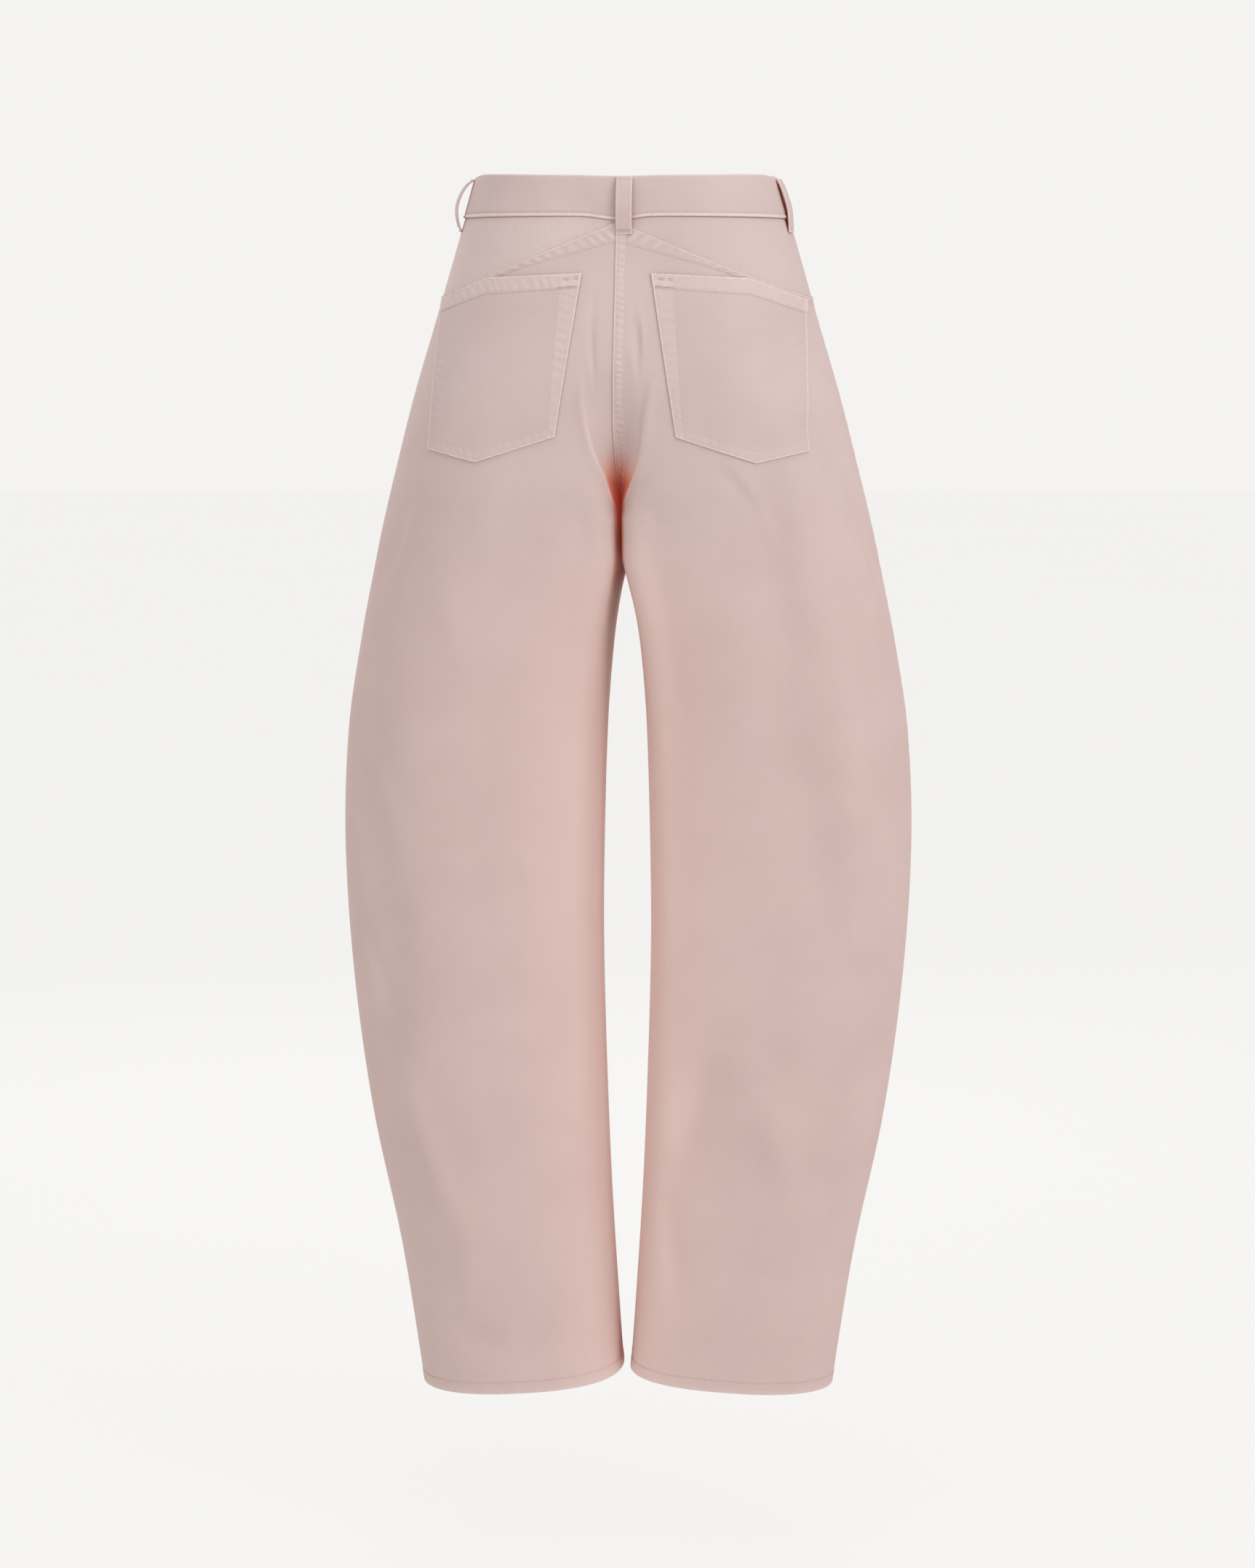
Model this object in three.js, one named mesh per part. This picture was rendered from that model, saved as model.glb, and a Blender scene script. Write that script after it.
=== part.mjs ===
// Barrel leg trousers in their worn, filled-out shape.
// Millimetres, +Z up. The wearer faces +Y, so the back of the trousers faces -Y and +X is the
// wearer's right. The origin is the middle of the waist opening, half way up the back waistband.
import * as THREE from 'three';

// Driving sizes
const WALL = 1.6;              // cloth with its washed loft
const SEAM_GAP = 0.3;          // clearance between pieces that are sewn together
const CROTCH_Z = -285;         // lowest point of the rise
const CROTCH_Y = 8;            // where the four panels meet, a little ahead of the middle
const BEND_Z = -140;           // the rise starts to curve under from here down
const RISE_CURVE = 1.65;       // exponent of the rise curve: 1 is straight, 2 is an ellipse
const INSEAM_RUN = 200;        // length over which the inseam moves back to the leg's middle
const FULLNESS = 0.58;         // handle length of the outer quarters of a section
// Extra handle length at the inner corners of a section, which squares the thighs off at the fork
const CORNER = { fork: 0.36, leg: 0.12, seatZ: -90, seatRun: 80, legRun: 160, depth: 0.75, seam: 0.35 };
const TUCK = 0.22;             // handle length into the fold between the thighs, above the crotch
const BLEND = { from: 0.7, run: 0.25 };  // share of the rise over which the leg's own section takes over
const OUTSEAM = -0.035;        // the outseam lies a little ahead of the widest line
const OUTSEAM_CUT = 0.0005;    // half the slit between the panels at the outseam, in w
const INNER_EDGE = 0.9996;     // w where cloth stops just short of the inner seams
const BAND = { top: 18.5, height: 38.5, drop: 24, dropEnd: 0.7, arch: 3.5, dip: 1.5, out: 1.7, in: -1.4 };
const YOKE = { top: -22, slope: 0.41 };
const HEM = { outerRight: -1040, outerLeft: -1043, inner: -1028, droopRight: 2, droopLeft: 5 };
const PATCH = { off: 0.8, wall: 1.3 };
const LOOP = { width: 13.7, wall: 2.2, below: 12, topStep: 1, seat: 0.35 };
const LOOP_BOW = { margin: 0.05, flatness: 0.6, landFrom: 0.5, landRun: 0.45 };
// Each loop stands off the band by its own gap, as they do on a worn pair
const LOOP_SPOTS = [
  { name: 'side', w: 0.06, right: 2.2, left: 7.1 },
  { name: 'front', w: -0.4, right: 4.4, left: 3.9 },
];
const BACK_LOOP = { x: 5.8, gap: 4.9 };  // centred on the lap, not on the seam
const BUTTON = { radius: 8.5, taper: 0.94, height: 3.4, sides: 28, x: -11, z: -24, clear: 0.5 };

// Grid of points over each kind of piece; a leg panel's rise rows are crowded towards the crotch
const GRID = {
  back: { columns: 18 },
  front: { columns: 14 },
  yoke: { columns: 16, rows: 3 },
  band: { columns: 60, rows: 3 },
  pocket: { columns: 13, rows: 9 },
  fly: { columns: 8, rows: 14 },
  loop: { columns: 2, rows: 14 },
};
const RISE_ROWS = 11;
const LEG_ROWS = 18;
const RISE_CROWDING = 1.7;
const STEP = { w: 0.002, z: 0.5 };  // small steps that give the cloth's direction

// One row for each level of the right half: its widest point, its rearmost and its frontmost point
const SECTIONS = [
  { z: 19, side: 128.5, sideY: 0, rearX: 38, rearY: -97, frontX: 36, frontY: 92 },
  { z: -20, side: 139.5, sideY: 0, rearX: 42, rearY: -103, frontX: 38, frontY: 97 },
  { z: -60, side: 151, sideY: -2, rearX: 48, rearY: -110, frontX: 42, frontY: 101 },
  { z: -110, side: 165.5, sideY: -4, rearX: 58, rearY: -118, frontX: 48, frontY: 104 },
  { z: -170, side: 183.3, sideY: -5, rearX: 76, rearY: -123, frontX: 62, frontY: 104 },
  { z: -230, side: 198.8, sideY: -5, rearX: 96, rearY: -121, frontX: 84, frontY: 103 },
  { z: -285, side: 212.3, sideY: -4, rearX: 108, rearY: -115, frontX: 101, frontY: 101 },
  { z: -325, side: 220.7, sideY: -3, rearX: 115, rearY: -110, frontX: 110, frontY: 99 },
  { z: -385, side: 232.6, sideY: -2, rearX: 123, rearY: -104, frontX: 120, frontY: 95 },
  { z: -460, side: 243.8, sideY: -1, rearX: 131, rearY: -98, frontX: 129, frontY: 91 },
  { z: -560, side: 247.7, sideY: 0, rearX: 134, rearY: -92, frontX: 133, frontY: 88 },
  { z: -680, side: 240.6, sideY: 0, rearX: 131, rearY: -86, frontX: 130, frontY: 83 },
  { z: -800, side: 224.7, sideY: 0, rearX: 121, rearY: -78, frontX: 120, frontY: 77 },
  { z: -920, side: 199.9, sideY: 0, rearX: 106, rearY: -71, frontX: 106, frontY: 71 },
  { z: -1045, side: 180.5, sideY: 0, rearX: 92, rearY: -66, frontX: 92, frontY: 66 },
];

// Half the space between the legs, down from the crotch
const LEG_GAP = [
  { z: -285, half: 0.15 },
  { z: -306, half: 0.3 },
  { z: -325, half: 4.7 },
  { z: -350, half: 9.7 },
  { z: -385, half: 13.8 },
  { z: -460, half: 18.4 },
  { z: -560, half: 21 },
  { z: -640, half: 21.6 },
  { z: -740, half: 19.2 },
  { z: -860, half: 14.4 },
  { z: -980, half: 6.9 },
  { z: -1045, half: 2.2 },
];

// The largest soft folds: from one end to the other, how wide, and how far out (+) or in (-).
// side is 1 on the wearer's right. w runs from 0 at the widest line to 1 at the inner edge of the
// back, and to -1 at the inner edge of the front.
const FOLDS = [
  { side: 1, w0: 0.40, z0: -215, w1: 0.47, z1: -430, width: 20, rise: -4.0 },
  { side: 1, w0: 0.47, z0: -430, w1: 0.36, z1: -650, width: 24, rise: -3.5 },
  { side: 1, w0: 0.33, z0: -330, w1: 0.30, z1: -600, width: 20, rise: 3.0 },
  { side: 1, w0: 0.22, z0: -200, w1: 0.05, z1: -330, width: 18, rise: -4.0 },
  { side: 1, w0: 0.62, z0: -730, w1: 0.70, z1: -830, width: 22, rise: -3.5 },
  { side: 1, w0: 0.50, z0: -760, w1: 0.40, z1: -860, width: 18, rise: 3.0 },
  { side: -1, w0: 0.20, z0: -240, w1: 0.16, z1: -330, width: 20, rise: -4.0 },
  { side: -1, w0: 0.14, z0: -390, w1: 0.30, z1: -640, width: 26, rise: -3.5 },
  { side: -1, w0: 0.30, z0: -640, w1: 0.22, z1: -780, width: 22, rise: -3.5 },
  { side: -1, w0: 0.30, z0: -760, w1: 0.40, z1: -900, width: 18, rise: 3.0 },
  { side: 1, w0: -0.30, z0: -230, w1: -0.46, z1: -470, width: 24, rise: -3.5 },
  { side: 1, w0: -0.62, z0: -560, w1: -0.36, z1: -700, width: 22, rise: -3.5 },
  { side: -1, w0: -0.26, z0: -250, w1: -0.42, z1: -430, width: 22, rise: -3.5 },
  { side: -1, w0: -0.30, z0: -560, w1: -0.58, z1: -680, width: 24, rise: -3.5 },
];
const HALF_GIRTH = 320;        // cloth from the widest line to the inner edge, for fold distances
const FOLD_FADE = 0.12;        // folds fade out over this much of w beside the inner seams
const FOLD_END = 0.35;         // share of a fold's height that is left at its ends

// Back pocket corners on the right half, seen from behind
const POCKET = {
  innerTop: { x: 29, z: -64 },
  merge: { x: 110, z: -68.5 },
  outerTop: { x: 155, z: -88 },
  outerBottom: { x: 161.5, z: -213 },
  point: { x: 118.5, z: -222.5 },
  innerBottom: { x: 51, z: -200.5 },
};
const FLY = { width: 37, length: 136, edge: 1.2, belowBand: 0.7, roundness: 2.4 };

const clamp = THREE.MathUtils.clamp;
const lerp = THREE.MathUtils.lerp;
const smooth = (t) => THREE.MathUtils.smoothstep(t, 0, 1);

// Smooth curve through one column of a table, by level
function column(rows, name, z) {
  const last = rows.length - 1;
  const at = clamp(z, rows[last].z, rows[0].z);
  let i = 0;
  while (i < last - 1 && at < rows[i + 1].z) i += 1;
  const slope = (k) => {
    const a = rows[Math.max(k - 1, 0)];
    const b = rows[Math.min(k + 1, last)];
    return (b[name] - a[name]) / (b.z - a.z);
  };
  const span = rows[i + 1].z - rows[i].z;
  const t = (at - rows[i].z) / span;
  const h00 = (1 + 2 * t) * (1 - t) ** 2;
  const h10 = t * (1 - t) ** 2;
  const h01 = t * t * (3 - 2 * t);
  const h11 = t * t * (t - 1);
  return h00 * rows[i][name] + h10 * span * slope(i) + h01 * rows[i + 1][name] + h11 * span * slope(i + 1);
}

// Where a falling function crosses zero between 0 and the limit
function solve(falling, limit) {
  let low = 0;
  let high = limit;
  for (let i = 0; i < 30; i += 1) {
    const middle = (low + high) / 2;
    if (falling(middle) > 0) low = middle;
    else high = middle;
  }
  return low;
}

function bezier(a, b, c, d, t) {
  const s = 1 - t;
  return s * s * s * a + 3 * s * s * t * b + 3 * s * t * t * c + t * t * t * d;
}

// Point of the smooth outer form on the right half, before folds
function form(w, z) {
  const toward = w >= 0 ? -1 : 1;
  const name = w >= 0 ? 'rear' : 'front';
  const side = column(SECTIONS, 'side', z);
  const sideY = column(SECTIONS, 'sideY', z);
  const farX = column(SECTIONS, name + 'X', z);
  const farY = column(SECTIONS, name + 'Y', z);
  const a = Math.min(Math.abs(w), 1);
  if (a <= 0.5) {
    const t = a * 2;
    return new THREE.Vector3(
      bezier(side, side, farX + FULLNESS * (side - farX), farX, t),
      bezier(sideY, sideY + FULLNESS * (farY - sideY), farY, farY, t),
      z,
    );
  }
  const drop = clamp((BEND_Z - z) / (BEND_Z - CROTCH_Z), 0, 1);
  const legY = CROTCH_Y * clamp(1 - (CROTCH_Z - z) / INSEAM_RUN, 0, 1);
  const innerY = legY + (farY - legY) * (1 - drop ** RISE_CURVE) ** (1 / RISE_CURVE);
  const innerX = z < CROTCH_Z ? Math.max(column(LEG_GAP, 'half', z), SEAM_GAP / 2) : SEAM_GAP / 2;
  const turn = (Math.PI / 2) * smooth(drop);
  const run = farX - innerX;
  const atFork = CORNER.fork * smooth((CORNER.seatZ - z) / CORNER.seatRun);
  const corner = lerp(atFork, CORNER.leg, smooth((CROTCH_Z - z) / CORNER.legRun));
  const square = FULLNESS + corner;
  const reach = (FULLNESS + CORNER.depth * corner) * Math.abs(farY - legY);
  const tuck = Math.max(reach - Math.abs(innerY - legY), TUCK * Math.abs(farY - innerY));
  const flat = lerp(FULLNESS, CORNER.seam, corner / CORNER.fork);
  const handle = flat * run * Math.cos(turn) + tuck * Math.sin(turn);
  const t = a * 2 - 1;
  const seatX = bezier(farX, farX - square * run, innerX + Math.cos(turn) * handle, innerX, t);
  const seatY = bezier(farY, farY, innerY + toward * Math.sin(turn) * handle, innerY, t);
  // Near the crotch the section is the leg's own, cut where the rise crosses it
  const legX = (k) => bezier(farX, farX - square * run, innerX, innerX, k);
  const legDepth = (k) => bezier(farY, farY, legY + toward * reach, legY, k);
  const cut = solve((k) => toward * (legDepth(k) - innerY), 1);
  const pinch = (legX(cut) - innerX) * t ** 3;
  const share = smooth((drop - BLEND.from) / BLEND.run);
  return new THREE.Vector3(
    lerp(seatX, legX(t * cut) - pinch, share),
    lerp(seatY, legDepth(t * cut), share),
    z,
  );
}

// How far the folds push the cloth out at a point
function foldRise(side, w, z) {
  let rise = 0;
  for (const fold of FOLDS) {
    if (fold.side !== side || fold.w0 * w < 0) continue;
    const alongW = (fold.w1 - fold.w0) * HALF_GIRTH;
    const alongZ = fold.z1 - fold.z0;
    const fromW = (w - fold.w0) * HALF_GIRTH;
    const fromZ = z - fold.z0;
    const t = clamp((fromW * alongW + fromZ * alongZ) / (alongW ** 2 + alongZ ** 2), 0, 1);
    const away = Math.hypot(fromW - t * alongW, fromZ - t * alongZ) / fold.width;
    rise += fold.rise * Math.exp(-away * away) * lerp(FOLD_END, 1, Math.sin(Math.PI * t));
  }
  return rise * smooth((1 - Math.abs(w)) / FOLD_FADE) * smooth(Math.abs(w) / FOLD_FADE + FOLD_END);
}

// Point on the garment, lifted off the outer face of the cloth along its normal
function cloth(side, w, z, lift) {
  const alongW = form(Math.min(w + STEP.w, 1), z).sub(form(Math.max(w - STEP.w, -1), z));
  const alongZ = form(w, z + STEP.z).sub(form(w, z - STEP.z));
  const normal = alongZ.cross(alongW).normalize();
  const point = form(w, z).addScaledVector(normal, lift + foldRise(side, w, z));
  point.x *= side;
  return point;
}

// w of the cloth at a distance from the centre plane, on the back (face 1) or the front (face -1)
function wAt(x, z, face) {
  return face * solve((w) => form(face * w, z).x - x, 1);
}

// Closed piece of cloth between an outer and an inner grid of points
function slab({ columns, rows }, outer, inner) {
  const points = [];
  const index = [];
  const count = (columns + 1) * (rows + 1);
  for (const face of [outer, inner]) {
    for (let j = 0; j <= rows; j += 1) {
      for (let i = 0; i <= columns; i += 1) points.push(...face(i / columns, j / rows).toArray());
    }
  }
  const id = (i, j, layer) => layer * count + j * (columns + 1) + i;
  const quad = (a, b, c, d) => index.push(a, b, c, a, c, d);
  for (let j = 0; j < rows; j += 1) {
    for (let i = 0; i < columns; i += 1) {
      quad(id(i, j, 0), id(i, j + 1, 0), id(i + 1, j + 1, 0), id(i + 1, j, 0));
      quad(id(i, j, 1), id(i + 1, j, 1), id(i + 1, j + 1, 1), id(i, j + 1, 1));
    }
  }
  for (let i = 0; i < columns; i += 1) {
    quad(id(i, 0, 0), id(i + 1, 0, 0), id(i + 1, 0, 1), id(i, 0, 1));
    quad(id(i, rows, 0), id(i, rows, 1), id(i + 1, rows, 1), id(i + 1, rows, 0));
  }
  for (let j = 0; j < rows; j += 1) {
    quad(id(0, j, 0), id(0, j, 1), id(0, j + 1, 1), id(0, j + 1, 0));
    quad(id(columns, j, 0), id(columns, j + 1, 0), id(columns, j + 1, 1), id(columns, j, 1));
  }
  return facingOut(points, index);
}

// Geometry whose faces point out, whichever way the grid ran
function facingOut(points, index) {
  let volume = 0;
  const corner = (k) => new THREE.Vector3().fromArray(points, index[k] * 3);
  for (let k = 0; k < index.length; k += 3) {
    volume += corner(k).dot(corner(k + 1).cross(corner(k + 2)));
  }
  if (volume < 0) index.reverse();
  const geometry = new THREE.BufferGeometry();
  geometry.setAttribute('position', new THREE.Float32BufferAttribute(points, 3));
  geometry.setIndex(index);
  geometry.computeVertexNormals();
  return geometry;
}

const materials = {
  twill: new THREE.MeshStandardMaterial({ color: 0xcfb6b0, roughness: 0.9, metalness: 0 }),
  edge: new THREE.MeshStandardMaterial({ color: 0xd8c3bd, roughness: 0.9, metalness: 0 }),
  metal: new THREE.MeshStandardMaterial({ color: 0xa39284, roughness: 0.4, metalness: 0.9 }),
};
const trousers = new THREE.Group();
const sides = [{ side: 1, label: 'right' }, { side: -1, label: 'left' }];

function add(name, geometry, material) {
  const mesh = new THREE.Mesh(geometry, material);
  mesh.name = name;
  trousers.add(mesh);
  return mesh;
}

// Seam lines, each a level for a given w
const frontDrop = (w) => BAND.drop * smooth(-w / BAND.dropEnd);
const bandTop = (w) => BAND.top - frontDrop(w) - (w > 0 ? BAND.dip * smooth(w) : 0);
const bandBottom = (w) => {
  const arch = w > 0 ? BAND.arch * Math.sin(Math.PI * w) : 0;
  return BAND.top - BAND.height + arch - frontDrop(w);
};
const hemLevel = (side, w) => {
  const inward = (1 - Math.cos(Math.PI * w)) / 2;
  const outer = side > 0 ? HEM.outerRight : HEM.outerLeft;
  const droop = side > 0 ? HEM.droopRight : HEM.droopLeft;
  return lerp(outer, HEM.inner, inward) - (w > 0 ? droop * Math.sin(Math.PI * w) : 0);
};
function yokeSeam(w) {
  let z = YOKE.top;
  for (let i = 0; i < 6; i += 1) z = YOKE.top - YOKE.slope * form(w, z).x;
  return z;
}

// A leg panel from its top line, through the crotch level, to the hem
function legPanel(side, w0, w1, topLine, { columns }) {
  const rows = RISE_ROWS + LEG_ROWS;
  const riseShare = RISE_ROWS / rows;
  const at = (lift) => (u, v) => {
    const w = lerp(w0, w1, u);
    const top = topLine(w) - SEAM_GAP;
    if (v <= riseShare) {
      const t = 1 - (1 - v / riseShare) ** RISE_CROWDING;
      return cloth(side, w, lerp(top, CROTCH_Z, t), lift);
    }
    return cloth(side, w, lerp(CROTCH_Z, hemLevel(side, w), (v - riseShare) / (1 - riseShare)), lift);
  };
  return slab({ columns, rows }, at(0), at(-WALL));
}

function yokePiece(side) {
  const at = (lift) => (u, v) => {
    const w = lerp(OUTSEAM + OUTSEAM_CUT, INNER_EDGE, u);
    return cloth(side, w, lerp(bandBottom(w) - SEAM_GAP, yokeSeam(w), v), lift);
  };
  return slab(GRID.yoke, at(0), at(-WALL));
}

// The waistband runs from the front opening, round the back, and back to the opening
function waistband() {
  const at = (lift) => (u, v) => {
    const side = u <= 0.5 ? -1 : 1;
    const w = u <= 0.5 ? lerp(-INNER_EDGE, 1, u * 2) : lerp(1, -INNER_EDGE, u * 2 - 1);
    const point = cloth(side, w, lerp(bandTop(w), bandBottom(w), v), lift);
    if (u === 0.5) point.x = 0;
    return point;
  };
  return slab(GRID.band, at(BAND.out), at(BAND.in));
}

// Point on the outer face at a signed distance from the centre plane
function overBack(x, z, lift) {
  return cloth(x < 0 ? -1 : 1, wAt(Math.abs(x), z, 1), z, lift);
}

function backPocket(side) {
  const { innerTop, merge, outerTop, outerBottom, point, innerBottom } = POCKET;
  const level = (a, b, x) => lerp(a.z, b.z, (x - a.x) / (b.x - a.x));
  const topAt = (x) => (x < merge.x ? level(innerTop, merge, x) : level(merge, outerTop, x));
  const bottomAt = (x) => (x < point.x ? level(innerBottom, point, x) : level(point, outerBottom, x));
  const at = (lift) => (u, v) => {
    const xTop = lerp(innerTop.x, outerTop.x, u);
    const xBottom = lerp(innerBottom.x, outerBottom.x, u);
    const z = lerp(topAt(xTop), bottomAt(xBottom), v);
    return cloth(side, wAt(lerp(xTop, xBottom, v), z, 1), z, lift);
  };
  return slab(GRID.pocket, at(PATCH.off + PATCH.wall), at(PATCH.off));
}

// Fly placket with a rounded lower corner, on the wearer's left front
function flyPiece() {
  const top = bandBottom(-1) - FLY.belowBand;
  const at = (lift) => (u, v) => {
    const corner = Math.sqrt(Math.max(0, 1 - u ** FLY.roundness));
    const z = lerp(top, top - FLY.length + FLY.width * (1 - corner), v);
    return cloth(-1, wAt(lerp(FLY.edge, FLY.width, u), z, -1), z, lift);
  };
  return slab(GRID.fly, at(PATCH.off + PATCH.wall), at(PATCH.off));
}

// Belt loop: a strap that leaves the band at its top edge and returns to the cloth below the band
function beltLoop(place, w, gap) {
  const top = bandTop(w) - LOOP.topStep;
  const bottom = bandBottom(w) - LOOP.below;
  const at = (extra) => (u, v) => {
    const free = clamp((v - LOOP_BOW.margin) / (1 - 2 * LOOP_BOW.margin), 0, 1);
    const bow = Math.sin(Math.PI * free) ** LOOP_BOW.flatness;
    const landed = smooth((v - LOOP_BOW.landFrom) / LOOP_BOW.landRun);
    const seat = lerp(BAND.out + LOOP.seat, LOOP.seat, landed);
    return place(u - 0.5, lerp(top, bottom, v), seat + gap * bow + extra);
  };
  return slab(GRID.loop, at(LOOP.wall), at(0));
}

// Belt loop at a place round the band; step turns its width into a change of w there
function loopAt(side, w, gap) {
  const dw = 0.01;
  const step = (2 * dw) / form(w + dw, 0).distanceTo(form(w - dw, 0));
  return beltLoop((u, z, lift) => cloth(side, w + u * LOOP.width * step, z, lift), w, gap);
}

for (const { side, label } of sides) {
  const back = legPanel(side, OUTSEAM + OUTSEAM_CUT, INNER_EDGE, yokeSeam, GRID.back);
  const front = legPanel(side, -INNER_EDGE, OUTSEAM - OUTSEAM_CUT, bandBottom, GRID.front);
  add(`back_${label}`, back, materials.twill);
  add(`front_${label}`, front, materials.twill);
  add(`yoke_${label}`, yokePiece(side), materials.edge);
  add(`back_pocket_${label}`, backPocket(side), materials.edge);
  for (const spot of LOOP_SPOTS) {
    add(`belt_loop_${spot.name}_${label}`, loopAt(side, spot.w, spot[label]), materials.edge);
  }
}
add('waistband', waistband(), materials.twill);
add(
  'belt_loop_back',
  beltLoop((u, z, lift) => overBack(BACK_LOOP.x + u * LOOP.width, z, lift), 1, BACK_LOOP.gap),
  materials.edge,
);
add('fly', flyPiece(), materials.edge);

const button = add(
  'button',
  new THREE.CylinderGeometry(BUTTON.radius, BUTTON.radius * BUTTON.taper, BUTTON.height, BUTTON.sides),
  materials.metal,
);
const underButton = (lift) => cloth(-1, wAt(-BUTTON.x, BUTTON.z, -1), BUTTON.z, lift);
const buttonSeat = BAND.out + BUTTON.clear;
const outward = underButton(buttonSeat + 1).sub(underButton(buttonSeat));
button.quaternion.setFromUnitVectors(new THREE.Vector3(0, 1, 0), outward.normalize());
button.position.copy(underButton(buttonSeat + BUTTON.height / 2));

export default trousers;
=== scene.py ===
"""Barrel leg trousers in washed pink twill, filled out with no wearer.

Lengths in the tables and shape functions are millimetres on the frame's axes: +Z up, the back of the
trousers faces -Y and +X is the wearer's right. Meshes are made in metres.
"""
import math

import bpy
import numpy as np
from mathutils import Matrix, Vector


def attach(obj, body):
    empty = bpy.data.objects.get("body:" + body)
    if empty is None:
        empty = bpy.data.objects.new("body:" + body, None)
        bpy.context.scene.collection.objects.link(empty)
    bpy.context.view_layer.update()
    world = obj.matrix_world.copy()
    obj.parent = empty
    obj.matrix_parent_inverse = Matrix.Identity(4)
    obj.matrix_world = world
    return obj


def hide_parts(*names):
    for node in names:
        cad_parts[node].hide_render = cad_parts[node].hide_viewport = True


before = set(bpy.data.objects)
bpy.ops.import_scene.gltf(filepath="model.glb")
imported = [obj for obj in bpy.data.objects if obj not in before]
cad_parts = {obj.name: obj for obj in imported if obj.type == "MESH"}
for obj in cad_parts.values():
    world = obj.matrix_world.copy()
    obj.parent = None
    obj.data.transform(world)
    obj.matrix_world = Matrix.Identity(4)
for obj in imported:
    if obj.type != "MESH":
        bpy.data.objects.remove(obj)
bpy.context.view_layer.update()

MM = 0.001
SEAM_GAP = 0.3          # clearance between sewn pieces, as in the frame
WALL = 1.1              # washed twill with its loft
INNER_EDGE = 1 - 0.0004 # a panel ends this share short of the centre or inseam
OUTSEAM = -0.035        # the outseam lies a little ahead of the widest line
OUTSEAM_CUT = 0.0005    # half the share of the girth that the outseam leaves free
CROTCH_Z = -285
CROTCH_Y = 8
BEND_Z = -140           # the rise starts to curve under from here down
RISE_CURVE = 1.65       # how squarely the rise turns under
INSEAM_RUN = 200        # down from the crotch to where the inseam is back in the middle
FULLNESS = 0.58         # handle length of a section's curves, as a share of their reach
# Extra handle length at the inner corners of a section, which squares the thighs off at the fork
CORNER = {
    "fork": 0.36, "leg": 0.12, "seat_z": -90, "seat_run": 80, "leg_run": 160, "depth": 0.75, "seam": 0.35,
}
TUCK = 0.22             # least handle length where the rise curves under
HALF_GIRTH = 320        # cloth from the widest line to the inner edge
FOLD_FADE = 0.12        # folds fade out over this share of the girth at the seams
FOLD_DEPTH = 2.0        # the folds of the cloth itself are this many times as deep as the frame's

BAND = {
    "top": 18.5, "height": 38.5, "drop": 24, "arch": 3.5, "dip": 1.5, "corner": 6, "length": 820, "row": 3.4,
}
YOKE = {"top": -22, "slope": 0.41}
HEM = {
    "outer_right": -1040, "outer_left": -1043, "inner": -1028,
    "droop_right": 2, "droop_left": 5, "depth": 10,
}
# Heights above the hem's edge of the close rows that carry its relief
HEM_ROWS = (16, 14.6, 13.4, 12.4, 11.5, 10.8, 10.3, 9.8, 9.2, 8.4, 7.2, 5.8, 4.4, 3, 1.8, 1, 0.45, 0)
# Rows of a leg panel above the crotch and in the leg, and the step between its columns
PANEL = {"rise_rows": 72, "leg_rows": 184, "back_step": 2.9, "front_step": 3.6}
LOOP = {"width": 13.7, "below": 12, "top_step": 1, "seat": 2.05}
# Where the loops sit, and how far each stands off the band
LOOP_SPOTS = {
    "side": {"w": 0.06, "right": 2.2, "left": 7.1},
    "front": {"w": -0.4, "right": 4.4, "left": 3.9},
}
BACK_LOOP = {"x": 5.8, "gap": 4.9}
BUTTON = {"radius": 8.5, "height": 3.4, "x": 11, "z": -24, "clear": 2.4}
FLY = {"width": 37, "length": 136, "edge": 1.2, "rows": (1.7, 8.0)}


def table(names, rows):
    """Named columns of a short table."""
    return dict(zip(names.split(), np.array(rows, float).T))


# One row for each level of the right half: its widest, rearmost and frontmost points
SECTIONS = table("z side side_y rear_x rear_y front_x front_y", [
    (19, 128.5, 0, 38, -97, 36, 92),
    (-20, 139.5, 0, 42, -103, 38, 97),
    (-60, 151, -2, 48, -110, 42, 101),
    (-110, 165.5, -4, 58, -118, 48, 104),
    (-170, 183.3, -5, 76, -123, 62, 104),
    (-230, 198.8, -5, 96, -121, 84, 103),
    (-285, 212.3, -4, 108, -115, 101, 101),
    (-325, 220.7, -3, 115, -110, 110, 99),
    (-385, 232.6, -2, 123, -104, 120, 95),
    (-460, 243.8, -1, 131, -98, 129, 91),
    (-560, 247.7, 0, 134, -92, 133, 88),
    (-680, 240.6, 0, 131, -86, 130, 83),
    (-800, 224.7, 0, 121, -78, 120, 77),
    (-920, 199.9, 0, 106, -71, 106, 71),
    (-1045, 180.5, 0, 92, -66, 92, 66),
])

# Half the space between the legs, down from the crotch
LEG_GAP = table("z half", [
    (-285, 0.15), (-306, 0.3), (-325, 4.7), (-350, 9.7), (-385, 13.8), (-460, 18.4),
    (-560, 21), (-640, 21.6), (-740, 19.2), (-860, 14.4), (-980, 6.9), (-1045, 2.2),
])

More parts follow.
